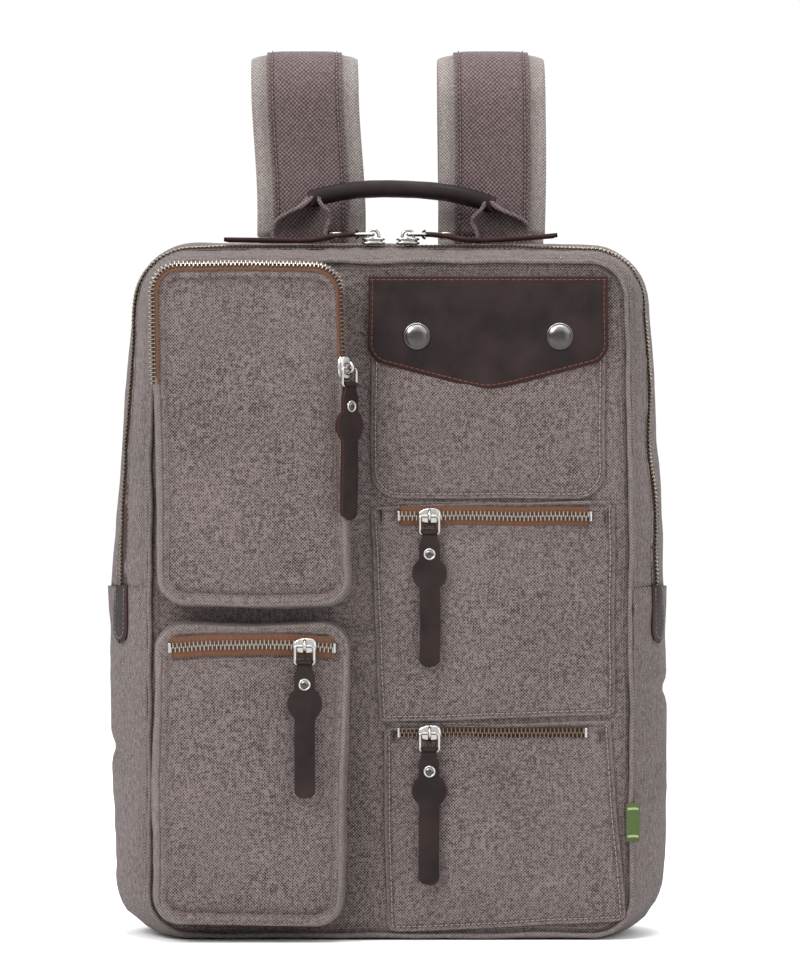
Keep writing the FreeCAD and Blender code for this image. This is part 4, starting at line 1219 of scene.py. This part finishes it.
def pullLeather(frameOf, seed, curl, settle):
    rows, wear = [], []
    steps = 74
    for i in range(steps + 1):
        t = i / steps
        d = 11.0 + (pullLook["length"] - 11.0) * (1 - (1 - t) ** 1.12)
        half = pullHalfWidth(d)
        row, worn = [], []
        for j in range(15):
            u = -math.cos(math.pi * j / 14)
            twist = 0.5 * wave(Vector((d / 1000, 0, 0)), 0.03, seed) * u
            bend = curl * ((d - 20) / 75) ** 2 * (1 if d > 20 else 0) - settle * ease((d - 12) / 34)
            soft = 0.35 * (1 - abs(u) ** 3)
            x = half * u + 0.7 * wave(Vector((d / 1000, 0.5, 0)), 0.045, seed)
            row.append(frameOf(x, -pullLook["thick"] / 2 - soft - bend + twist, -d))
            worn.append(0.85 if abs(u) > 0.96 else 0.0)
        rows.append(row)
        wear.append(worn)
    points, faces, marks = thicken(rows[::-1], pullLook["thick"] * mm, wear=wear[::-1])
    # the fold round the stirrup's lower bar
    foldRows = []
    for k in range(9):
        y, z = 1.9 * math.cos(math.pi * k / 8), 1.9 * math.sin(math.pi * k / 8)
        foldRows.append([frameOf(x, y, -11.4 + z) for x in (-4.7, -3.2, -1.6, 0, 1.6, 3.2, 4.7)])
    foldPoints, foldFaces, foldMarks = thicken(foldRows, 1.1 * mm)
    marks["wear"] = marks["wear"] + [0.15] * len(foldPoints)
    points, faces = join([(points, faces), (foldPoints, foldFaces)])
    return points, faces, marks


def pullMetal(frameOf, sunk):
    h, low = pullLook["stirrupHalf"], -pullLook["stirrupLength"]
    corners = [(-h, 0), (-h * 0.82, 0), (h * 0.82, 0), (h, -0.2 * h), (h, low * 0.5), (h, low + 1.2),
               (h * 0.82, low),
               (-h * 0.82, low), (-h, low + 1.2), (-h, low * 0.5), (-h, -0.2 * h)]
    loop = [frameOf(x, 0, z) for x, z in corners]
    dense = [p for p, q in resample(loop, 1.1 * mm, closed=True)]
    smooth = []
    for i in range(len(dense)):
        smooth.append((dense[i - 1] + dense[i] * 2 + dense[(i + 1) % len(dense)]) / 4)
    parts = [tube(smooth, 1.0 * mm, 10, closed=True, up=frameOf(0, 1, 0) - frameOf(0, 0, 0))]
    out = frameOf(0, -1, 0) - frameOf(0, 0, 0)
    profile = [(2.2, 0.0), (3.6, 0.0), (3.9, 0.3), (3.8, 0.8), (3.3, 1.15), (2.8, 1.05), (2.5, 0.5),
               (1.2, 0.3), (0.3, 0.3)]
    parts.append(turned(frameOf(0, sunk - pullLook["thick"] / 2 - 0.15, -pullLook["rivetDrop"]),
                        scaled(profile), 28, out))
    parts.append(turned(frameOf(0, sunk + pullLook["thick"] / 2 - 0.3, -pullLook["rivetDrop"]),
                        scaled([(3.0, 0), (2.8, 0.7), (0.4, 0.8)]), 24, -out))
    return join(parts)


# domed heart of the rivet, in nickel with painted shade and a painted highlight on top, set in its bright ring
def rivetHeart(frameOf, sunk):
    out = frameOf(0, -1, 0) - frameOf(0, 0, 0)
    at = frameOf(0, sunk - pullLook["thick"] / 2 - 0.35, -pullLook["rivetDrop"])
    return turned(at, scaled([(2.5, 0.0), (2.55, 0.35), (2.2, 0.75), (1.5, 0.98), (0.4, 1.05)]), 24, out)


# millimetre frame whose three directions and origin are given
def frameFrom(at, xDir, yDir, zDir):
    return lambda x, y, z: at + (xDir * x + yDir * y + zDir * z) * mm


joints = {j["name"]: j for j in frame["joints"]}


def jointPlace(name):
    return Vector(joints[name]["pos_m"])


xAxis, yAxis, zAxis = Vector((1, 0, 0)), Vector((0, 1, 0)), Vector((0, 0, 1))
s45 = math.sqrt(0.5)
# directions of the bar, inwards, up, along the zip and outwards, then how the tail curls and settles
pulls = {
    "lower_zip": (xAxis, yAxis, zAxis, xAxis, -yAxis, 0.6, 0.0),
    "middle_zip": (xAxis, yAxis, zAxis, xAxis, -yAxis, -0.8, 0.0),
    "low_zip": (xAxis, yAxis, zAxis, xAxis, -yAxis, 0.5, 0.0),
    "upper_zip": (Vector((s45, s45, 0)), Vector((-s45, s45, 0)), zAxis, zAxis, Vector((s45, -s45, 0)), -1.0,
                  0.0),
    "left_top_zip": (-yAxis, -zAxis, xAxis, xAxis, zAxis, 0.6, 4.0),
    "right_top_zip": (yAxis, -zAxis, -xAxis, -xAxis, zAxis, 3.6, 4.2)}
for number, (name, (bar, inward, up, along, outward, curl, settle)) in enumerate(pulls.items()):
    hinge = jointPlace(name + "_pull_lift")
    pullFrame = frameFrom(hinge, bar, inward, up)
    points, faces, marks = pullLeather(pullFrame, 101.0 + 7 * number, curl, settle)
    piece(name + "PullLeather", points, faces, "leather", name + "_pull", [name + "_pull"], marks)
    sunk = settle * ease((pullLook["rivetDrop"] - 12) / 34)
    points, faces = pullMetal(pullFrame, sunk)
    piece(name + "PullMetal", points, faces, "nickel", name + "_pull", [name + "_pull_metal"])
    points, faces = rivetHeart(pullFrame, sunk)
    piece(name + "RivetHeart", points, faces, "paintedShadeNickel", name + "_pull")
    foot = hinge - outward * 0.0063
    sliderFrame = frameFrom(foot, along, outward, along.cross(outward))
    points, faces = sliderParts(sliderFrame, "top" in name or name == "upper_zip")
    piece(name + "Slider", points, faces, "nickel", name + "_slider", [name + "_slider"])
print("sliders and pulls ready")

# leather tabs wrapped on the gusset over the lower ends of the main zip, with a curved line of stitches
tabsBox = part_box("zip_end_tabs")
tabLook = {"half": 10.0, "length": 37.0, "thick": 1.9, "stitchHalf": 6.2, "y": body["zip"] - 0.0055}


# place on the side of the bag, a little proud of the cloth
def onSide(side, y, z, proud):
    x = through(body["half"], y) * narrowing(y, z) + bulge(side, y, z)
    return Vector((side * (x + proud), y, z))


for side, name in ((-1, "left"), (1, "right")):
    rows, wear = [], []
    top = tabsBox[1][2] + 0.002
    for i in range(31):
        d = tabLook["length"] * i / 30
        half, left = tabLook["half"], tabLook["length"] - d
        if left < half:
            half = math.sqrt(max(0.0, half ** 2 - (half - left) ** 2)) + 0.05
        half -= 1.6 * math.exp(-d / 9)
        row, worn = [], []
        for j in range(17):
            u = -math.cos(math.pi * j / 16)
            soft = 0.5 * (1 - u * u) + 0.4 * math.sin(math.pi * i / 30)
            row.append(onSide(side, tabLook["y"] + side * u * half * mm, top - d * mm,
                              (soft + tabLook["thick"]) * mm))
            worn.append(0.9 if abs(u) > 0.93 else 0.0)
        rows.append(row)
        wear.append(worn)
    points, faces, marks = thicken(rows[::-1], tabLook["thick"] * mm, wear=wear[::-1])
    piece(name + "ZipEndTab", points, faces, "leather", "bag", ["zip_end_tabs"], marks)
    arc = []
    h = tabLook["stitchHalf"] * mm
    foot = top - (tabLook["length"] - 3.4) * mm + h
    for i in range(9):
        arc.append(onSide(side, tabLook["y"] + h, top - 0.003 - (top - 0.003 - foot) * i / 9, 0.0023))
    for i in range(25):
        turn = math.pi * i / 24
        arc.append(onSide(side, tabLook["y"] + h * math.cos(turn), foot - h * math.sin(turn), 0.0023))
    for i in range(9):
        arc.append(onSide(side, tabLook["y"] - h, foot + (top - 0.003 - foot) * (i + 1) / 9, 0.0023))
    stitches(name + "TabStitches", [arc], "tabThread", "bag", 3.0 * mm, 2.1 * mm, 0.34 * mm,
             Vector((side, 0, 0)))
print("zip end tabs ready")

# handle: leather sewn round a core, and webbing ends that cup and flare to the bag
gripBox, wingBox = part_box("handle_grip"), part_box("handle_webbing")
handleY = (gripBox[0][1] + gripBox[1][1]) / 2
handleMid = (gripBox[0][0] + gripBox[1][0]) / 2
handleLook = {"half": 0.0600, "crown": 0.0088, "radius": 0.0057, "endZ": gripBox[0][2] + 0.0056,
              "wingThick": 0.0022,
              "webHalf": 20.5, "steps": 30, "base": body["top"][1] - 0.0035}


def gripCentre(u):
    lift = handleLook["crown"] * (1 - abs(u) ** 2.4)
    return Vector((handleMid + u * handleLook["half"], handleY, handleLook["endZ"] + lift - 0.0018 * u))


# the grip's radius at a share t of its length, a little thinner at its ends
def gripRadius(t):
    uneven = 1 + 0.03 * wave(Vector((t * 3, 0, 0)), 0.2, 201.0)
    return handleLook["radius"] * (0.90 + 0.10 * min(1, 30 * min(t, 1 - t))) * uneven

path = [gripCentre(-1 + 2 * i / 70) for i in range(71)]
points, faces = tube(path, gripRadius, 22)
rimMarks = [0.9 if (i // 22 in (0, 1, 69, 70)) or (i % 22 == 17) else 0.0 for i in range(len(points))]
piece("gripLeather", points, faces, "leather", "handle", ["handle_grip"], {"wear": rimMarks})
seam = [gripCentre(-0.97 + 1.94 * i / 70) + Vector((0, -0.0036, -0.0036)) for i in range(71)]
stitches("gripStitches", [seam], "redThread", "handle", 3.4 * mm, 2.3 * mm, 0.3 * mm)
for side, name in ((-1, "left"), (1, "right")):
    rows, wear, paintedShade = [], [], []
    top = gripCentre(side * 0.93)
    foot = handleMid + side * 0.0632
    for i in range(handleLook["steps"] + 1):
        t = i / handleLook["steps"]
        opened = ease(t * 1.6)
        centreX = top.x + (foot - top.x) * ease(t * 1.5) + side * 0.0035 * math.sin(math.pi * t)
        backY = handleY + 0.0043 * (1 - opened) + 0.0062 * opened
        z = top.z + (handleLook["base"] - top.z) * t ** 1.1
        row, worn, dip = [], [], []
        for j in range(33):
            u = -1 + 2 * j / 32
            edgeOpened = ease(t * (2.7 if u * side < 0 else 1.35)) * abs(u) + opened * (1 - abs(u))
            wrap = math.pi * (0.94 * (1 - edgeOpened) + 0.21 * edgeOpened)
            radius = (4.3 * (1 - edgeOpened) + handleLook["webHalf"] / wrap * edgeOpened) * mm
            turn = u * wrap
            roll = 0.0035 * max(0.0, abs(u) - 0.75) / 0.25 * math.sin(math.pi * min(1, t * 1.1))
            x = centreX + radius * math.sin(turn) - math.copysign(roll, u) * opened
            y = backY - radius * (1 - math.cos(turn)) - roll * 0.8
            skew = 0.005 * side * u * math.sin(math.pi * t) * opened
            row.append(Vector((x, y + 0.0008 * wave(Vector((x, 0, z)), 0.02, 205.0), z + skew)))
            worn.append(0.8 if abs(u) > 0.92 else 0.0)
            # painted shade inside the cupped webbing, darkest down its middle
            dip.append(0.55 * (1 - abs(u)) * math.sin(math.pi * t))
        rows.append(row)
        wear.append(worn)
        paintedShade.append(dip)
    points, faces, marks = thicken(rows[::-1], handleLook["wingThick"], wear=wear[::-1], paintedShade=paintedShade[::-1])
    piece(name + "HandleWebbing", points, faces, "webbing", "handle", ["handle_webbing"], marks)
print("handle ready")

# shoulder straps: quilted canvas pad with coarse webbing sewn along it
strapLook = {"pad": 0.0085, "webThick": 0.0022, "webHalf": 0.0245, "step": 0.0042}


# side view of the strap: place and outward direction at a share t of its length
def strapLine(box):
    front, back = box[0][1], box[1][1]
    half = 0.004
    r = (back - front) / 2 - half
    topZ = box[1][2] - r - half + 0.006
    line = []
    endZ = box[0][2]
    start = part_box("strap_yoke")[1][2]
    for i in range(40):
        t = i / 40
        line.append(Vector((0, front + half + 0.0012 * math.sin(math.pi * t), start + (topZ - start) * t)))
    for i in range(40):
        a = math.pi * i / 40
        line.append(Vector((0, front + half + r - r * math.cos(a), topZ + r * math.sin(a))))
    for i in range(71):
        t = i / 70
        line.append(Vector((0, back - half - 0.012 * t + 0.006 * math.sin(math.pi * t),
                            topZ + (endZ - topZ) * t)))
    return line


# small sideways drift of a strap; the left one leans outwards towards its top
def strapSway(at, seed):
    lean = -0.0045 * ease((at.z - 0.46) / 0.09) if seed < 210 else 0.0
    return 0.0014 * wave(Vector((0, at.y, at.z)), 0.09, seed) + lean


def strapSurface(line, centre, halfWidth, thick, seed):
    rows, wear, paintedShade = [], [], []
    even = resample(line, strapLook["step"])
    for i, (at, along) in enumerate(even):
        normal = along.cross(Vector((1, 0, 0))).normalized()     # points to the worn side of the loop
        row, worn, dip = [], [], []
        sway = strapSway(at, seed)
        for k in range(44):
            a = 2 * math.pi * k / 44
            ca, sa = math.cos(a), math.sin(a)
            u = math.copysign(abs(ca) ** 0.42, ca)
            w = math.copysign(abs(sa) ** 0.75, sa)
            edge = abs(u) > 0.985
            swell = thick / 2 * w * (1 - 0.45 * abs(u) ** 6)
            swell -= math.copysign(1, sa) * 0.0007 * math.exp(-((abs(u) - 0.80) / 0.025) ** 2)
            swell += 0.0005 * wave(Vector((u * 0.03, seed, i * 0.0042)), 0.022, seed) * (1 - abs(u))
            place = Vector((centre + sway + u * halfWidth, 0, 0)) + Vector((0, at.y, at.z)) + normal * swell
            row.append(place)
            worn.append(0.9 if edge else 0.25 * max(0.0, 1 - abs(abs(u) - 0.9) / 0.1))
            # painted shade in the quilting channels along the stitch lines
            dip.append(math.exp(-((abs(u) - 0.80) / 0.03) ** 2) * 0.6)
        rows.append(row)
        wear.append(worn)
        paintedShade.append(dip)
    marks = {"wear": [v for row in wear for v in row], "paintedShade": [v for row in paintedShade for v in row]}
    return [p for row in rows for p in row], ringFaces(len(even), 44), marks, even


# flat strip of webbing along the outside of the strap
def webbingStrip(even, centre, half, offset, thick, seed, stop=0):
    rows, wear, paintedShade = [], [], []
    for at, along in even[:len(even) - stop]:
        normal = along.cross(Vector((1, 0, 0))).normalized()
        sway = strapSway(at, seed)
        row, worn, dip = [], [], []
        for k in range(41):
            u = -1 + 2 * k / 40
            crown = 0.0008 * (1 - u ** 4) - 0.0005 * math.exp(-((abs(u) - 0.86) / 0.04) ** 2)
            row.append(Vector((centre + sway + u * half, at.y, at.z)) + normal
                       * (offset + crown * math.copysign(1, offset)))
            worn.append(0.35 if abs(u) > 0.96 else 0.0)
            # painted shade along the stitch grooves near the edges
            dip.append(0.8 * math.exp(-((abs(u) - 0.86) / 0.035) ** 2))
        rows.append(row)
        wear.append(worn)
        paintedShade.append(dip)
    return thicken(rows, thick, wear=wear, paintedShade=paintedShade)


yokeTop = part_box("strap_yoke")[1][2]
for side, name in ((-1, "left"), (1, "right")):
    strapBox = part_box(name + "_strap")
    centre = (strapBox[0][0] + strapBox[1][0]) / 2
    halfWidth = (strapBox[1][0] - strapBox[0][0]) / 2 + 0.001
    line = strapLine(strapBox)
    seed = 211.0 + 5 * side
    points, faces, marks, even = strapSurface(line, centre, halfWidth, strapLook["pad"], seed)
    pad = piece(name + "StrapPad", points, faces, "strapCanvas", None, [name + "_strap"],
                marks)
    hinge = jointPlace(name + "_strap_swing")
    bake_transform(pad)
    offset = -(strapLook["pad"] / 2 + 0.0011)
    points, faces, marks = webbingStrip(even, centre, strapLook["webHalf"], offset, strapLook["webThick"],
                                        seed, 3)
    web = piece(name + "StrapWebbing", points, faces, "webbing", None, [name + "_strap_webbing"],
                marks)
    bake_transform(web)
    paths = []
    for u in (-0.86, 0.86):
        lineUp = []
        for at, along in even[2:-4]:
            normal = along.cross(Vector((1, 0, 0))).normalized()
            sway = strapSway(at, seed)
            lineUp.append(Vector((centre + sway + u * strapLook["webHalf"], at.y, at.z)) + normal
                          * (offset - 0.0009))
        paths.append(lineUp)
    threads = stitches(name + "StrapStitches", paths, "paleThread", None, radius=0.4 * mm)
    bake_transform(threads)
print("straps ready")

# lower webbing from each strap's end to its wing, and the adjuster that slides on it
for side, name in ((-1, "left"), (1, "right")):
    run = Vector(joints[name + "_adjuster_run"]["axis"]).normalized()
    strapBox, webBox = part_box(name + "_strap"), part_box(name + "_lower_webbing")
    centre = (strapBox[0][0] + strapBox[1][0]) / 2
    top = Vector((centre, strapBox[1][1] - 0.012 - 0.004, strapBox[0][2] + 0.004))
    foot = Vector((webBox[0][0] + 0.013 if side < 0 else webBox[1][0] - 0.013, 0, webBox[0][2] + 0.004))
    length = (top.z - foot.z) / -run.z
    across = run.cross(Vector((0, 1, 0))).normalized()
    outward = across.cross(run).normalized()
    outward = outward if outward.y > 0 else -outward
    rows, wear = [], []
    for i in range(41):
        t = i / 40
        row, worn = [], []
        for k in range(11):
            u = -1 + 2 * k / 10
            bow = 0.0012 * math.sin(math.pi * t)
            row.append(top + run * (length * t) + across * (u * 0.0124) + outward
                       * (0.0008 + bow - 0.0003 * u * u))
            worn.append(0.4 if abs(u) > 0.9 else 0.0)
        rows.append(row)
        wear.append(worn)
    points, faces, marks = thicken(rows, 0.0016, wear=wear)
    lower = piece(name + "LowerWebbing", points, faces, "webbing", None, [name + "_lower_webbing"],
                  marks)
    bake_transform(lower)
    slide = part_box(name + "_adjuster")
    middle = (Vector(slide[0]) + Vector(slide[1])) / 2
    bars = []
    for shift in (-0.0065, 0.0, 0.0065):
        flatBar = [middle + run * shift + across * x + outward * y for x, y in
                   ((-0.0155, 0.0), (-0.015, 0.0018), (0.015, 0.0018), (0.0155, 0.0))]
        bars.append(tube([p for p, q in resample(flatBar, 0.002)], 0.0014, 9, up=outward))
    for x in (-0.0155, 0.0155):
        ends = [middle + run * s + across * x for s in (-0.0078, -0.007, 0.0, 0.007, 0.0078)]
        bars.append(tube(ends, 0.0018, 10, up=outward))
    points, faces = join(bars)
    piece(name + "Adjuster", points, faces, "plastic", name + "_adjuster", [name + "_adjuster"])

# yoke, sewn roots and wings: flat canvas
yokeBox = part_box("strap_yoke")
yokeLook = {"thick": 0.002, "low": 0.3845, "high": 0.4305}
rows, wear = [], []
for i in range(17):
    z = yokeLook["low"] + (yokeLook["high"] - yokeLook["low"]) * i / 16
    row, worn = [], []
    for j in range(57):
        x = yokeBox[0][0] + (yokeBox[1][0] - yokeBox[0][0]) * j / 56
        d = min(x - yokeBox[0][0], yokeBox[1][0] - x, z - yokeLook["low"], yokeLook["high"] - z)
        row.append(Vector((x, body["back"] + 0.0021 + 0.0006 * crumple(Vector((x, 1, z)), 231.0)
                           * ease(d / 0.01), z)))
        worn.append(0.8 * math.exp(-d / 0.0015))
    rows.append(row[::-1])
    wear.append(worn[::-1])
points, faces, marks = thicken(rows, yokeLook["thick"], wear=wear)
piece("strapYoke", points, faces, "strapCanvas", "bag", ["strap_yoke"], marks)
for side, name in ((-1, "left"), (1, "right")):
    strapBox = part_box(name + "_strap")
    centre = (strapBox[0][0] + strapBox[1][0]) / 2
    line = [Vector((0, strapBox[0][1] + 0.004 - 0.0008 * (1 - i / 20),
                    yokeLook["low"] + 0.022 + (yokeTop - yokeLook["low"] - 0.022) * i / 20))
            for i in range(21)]
    seed = 211.0 + 5 * side
    points, faces, marks, even = strapSurface(line, centre, (strapBox[1][0] - strapBox[0][0]) / 2, 0.0078,
                                              seed)
    root = piece(name + "StrapRoot", points, faces, "strapCanvas", "bag", marks=marks)
    points, faces, marks = webbingStrip(even, centre, strapLook["webHalf"], -0.0048, 0.0012, seed)
    piece(name + "RootWebbing", points, faces, "webbing", "bag", marks=marks)
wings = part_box("strap_wings")
for side, name in ((-1, "left"), (1, "right")):
    rows, wear = [], []
    for i in range(17):
        v = i / 16
        row, worn = [], []
        for j in range(17):
            u = j / 16
            outerX = abs(wings[0][0]) - 0.001
            innerX = 0.1105 + 0.008 * (1 - v)
            x = innerX + (outerX - innerX) * u
            low = wings[0][2] + 0.012 * max(0.0, u - 0.55) ** 1.4 * 2.2
            high = wings[1][2] - 0.021 * (1 - u)
            z = low + (high - low) * v
            row.append(Vector((side * x, body["back"] + 0.0028 + 0.0004 * crumple(Vector((x, 1, z)), 251.0),
                               z)))
            worn.append(0.8 if min(u, 1 - u, v, 1 - v) < 0.03 else 0.0)
        rows.append(row if side < 0 else row[::-1])
        wear.append(worn)
    points, faces, marks = thicken(rows, 0.0026, wear=wear)
    piece(name + "StrapWing", points, faces, "strapCanvas", "bag", ["strap_wings"], marks)
print("back fittings ready")

# padded back: foam under air mesh, blown up by cloth simulation and then quilted
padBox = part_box("back_pad")
padLook = {"voxel": 0.005, "pressure": 4.0, "frames": 20, "cap": 0.006, "channels": (0.30, 0.62),
           "shrink": 0.003}


def padForm(x0, x1, y0, y1, z0, z1, r):
    rows = []
    for line in roundedRows(x0, x1, z0, z1, r, 40, 46):
        rows.append([Vector((x, y1, z)) for x, z in line][::-1])
    return thicken(rows, y1 - y0)


def inflate(made, look):
    start = [v.co.copy() for v in made.data.vertices]
    cloth = made.modifiers.new("cloth", "CLOTH")
    cloth.settings.effector_weights.gravity = 0
    cloth.settings.use_pressure = True
    cloth.settings.uniform_pressure_force = look["pressure"]
    cloth.settings.quality = 4
    cloth.point_cache.frame_start = 1
    cloth.point_cache.frame_end = look["frames"]
    for number in range(1, look["frames"] + 1):
        bpy.context.scene.frame_set(number)
    grown = made.evaluated_get(bpy.context.evaluated_depsgraph_get())
    moved = [v.co.copy() for v in grown.data.vertices]
    made.modifiers.remove(cloth)
    bpy.context.scene.frame_set(1)
    for v, before, after in zip(made.data.vertices, start, moved):
        step = after - before
        v.co = before + step * min(1.0, look["cap"] / step.length if step.length > 1e-9 else 1.0)
    made.data.update()


def useModifier(made):
    grown = bpy.data.meshes.new_from_object(made.evaluated_get(bpy.context.evaluated_depsgraph_get()))
    made.modifiers.clear()
    made.data = grown


s = padLook["shrink"]
points, faces, marks = padForm(padBox[0][0] + s, padBox[1][0] - s, body["back"] + 0.002, padBox[1][1] - 0.001,
                               padBox[0][2] + s, padBox[1][2] - s, 0.026)
pad = piece("backPad", points, faces, "mesh", None)
remesh = pad.modifiers.new("remesh", "REMESH")
remesh.mode = "VOXEL"
remesh.voxel_size = padLook["voxel"]
useModifier(pad)
inflate(pad, padLook)
smooth = pad.modifiers.new("smooth", "SUBSURF")
smooth.levels = 1
smooth.render_levels = 1
useModifier(pad)
height = padBox[1][2] - padBox[0][2]
for v in pad.data.vertices:
    v.co.y = max(v.co.y, body["back"] + 0.0006)
    if v.co.y > body["back"] + 0.003:
        dip = 0.0
        for share in padLook["channels"]:
            level = padBox[0][2] + height * share
            dip = max(dip, math.exp(-((v.co.z - level - 0.02 * (1 - (v.co.x / 0.125) ** 2)) / 0.006) ** 2))
        dip = max(dip, math.exp(-((v.co.x) / 0.006) ** 2) * 0.9)
        v.co.y -= dip * 0.0045 * ease((v.co.y - body["back"] - 0.003) / 0.003)
pad.data.polygons.foreach_set("use_smooth", [True] * len(pad.data.polygons))
pad.data.update()
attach(pad, "bag")
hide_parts("back_pad")
print("back pad ready")

# inside the bag: lining, padded sleeve and the stiffening board
liningLook = {"thick": 0.0006, "inset": 0.0072, "pucker": 0.0010}
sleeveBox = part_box("laptop_sleeve")
rows = []
for line in roundedRows(sleeveBox[0][0], sleeveBox[1][0], sleeveBox[0][2], sleeveBox[1][2], 0.010, 40, 40):
    rows.append([Vector((x, sleeveBox[0][1] + 0.0004 - 0.00032 * crumple(Vector((x, 2, z)), 261.0), z))
                 for x, z in line])
points, faces, marks = thicken(rows, 0.0045)
sleeve = piece("laptopSleeve", points, faces, "lining", "bag", ["laptop_sleeve"])
backRows = []
for line in roundedRows(-0.154, 0.154, 0.0105, 0.430, 0.026, 40, 50):
    backRows.append([Vector((x, body["back"] - 0.0034 - 0.0006 * crumple(Vector((x, 3, z)), 263.0), z))
                     for x, z in line])
points, faces, marks = thicken(backRows, liningLook["thick"])
piece("rearLining", points, faces, "lining", "bag", ["rear_lining"])
sideRows = []
for i in range(21):
    y = rearEdge + 0.002 + (body["back"] - 0.004 - rearEdge - 0.002) * i / 20
    row = []
    for x, z, nx, nz in outlineAt(y, "all", 0.0, (40, 10, 60)):
        p, out = Vector((x, y, z)), Vector((nx, 0, nz))
        row.append(p - out * (liningLook["inset"] + liningLook["pucker"] * abs(crumple(p, 267.0))))
    sideRows.append(row)
points, faces, marks = thicken(sideRows, liningLook["thick"])
piece("sideLining", points, faces, "lining", "bag")
frontRows = []
for line in roundedRows(-0.147, 0.147, 0.0095, 0.4225, 0.020, 40, 50):
    frontRows.append([Vector((x * narrowing(body["front"], z),
                              body["front"] + 0.0052 + 0.0006 * crumple(Vector((x, 4, z)), 269.0), z))
                      for x, z in line][::-1])
points, faces, marks = thicken(frontRows, liningLook["thick"])
piece("frontLining", points, faces, "lining", "front_wall", ["front_lining"])
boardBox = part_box("bottom_board")
rows = []
for i in range(13):
    y = boardBox[0][1] + (boardBox[1][1] - boardBox[0][1]) * i / 12
    rows.append([Vector((boardBox[0][0] + (boardBox[1][0] - boardBox[0][0]) * j / 30, y, boardBox[1][2]))
                 for j in range(31)])
points, faces, marks = thicken(rows, boardBox[1][2] - boardBox[0][2])
piece("bottomBoard", points, faces, "plastic", "bag", ["bottom_board"])
print("inside ready")

# pale floor and soft studio light
floorLook = {"size": 12.0, "tone": (0.97, 0.97, 0.97, 1)}
floorMesh = bpy.data.meshes.new("studioFloor")
k = floorLook["size"]
floorMesh.from_pydata([(-k, -k, 0), (k, -k, 0), (k, k, 0), (-k, k, 0)], [], [(0, 1, 2, 3)])
studioFloor = bpy.data.objects.new("studioFloor", floorMesh)
bpy.context.collection.objects.link(studioFloor)
floorShade = Shade("paleFloor")
floorMesh.materials.append(floorShade.done(floorLook["tone"], 0.8))
lamps = {"key": ((-1.5, -1.8, 1.9), 58, 1.2), "fill": ((1.8, -2.0, 0.9), 18, 1.8),
         "top": ((0.0, -0.1, 2.3), 34, 1.3),
         "behind": ((0.3, 2.2, 1.6), 30, 1.6)}
for name, (place, power, size) in lamps.items():
    light = bpy.data.lights.new(name, "AREA")
    light.energy = power
    light.size = size
    lamp = bpy.data.objects.new(name, light)
    lamp.location = place
    lamp.rotation_euler = (Vector((0, 0, 0.24)) - Vector(place)).to_track_quat("-Z", "Y").to_euler()
    bpy.context.collection.objects.link(lamp)
world = bpy.data.worlds.new("studio")
bpy.context.scene.world = world
world.use_nodes = True
world.node_tree.nodes["Background"].inputs["Color"].default_value = (1.0, 1.0, 1.0, 1)
world.node_tree.nodes["Background"].inputs["Strength"].default_value = 1.03
bpy.context.scene.view_settings.view_transform = "Standard"
print("studio ready")
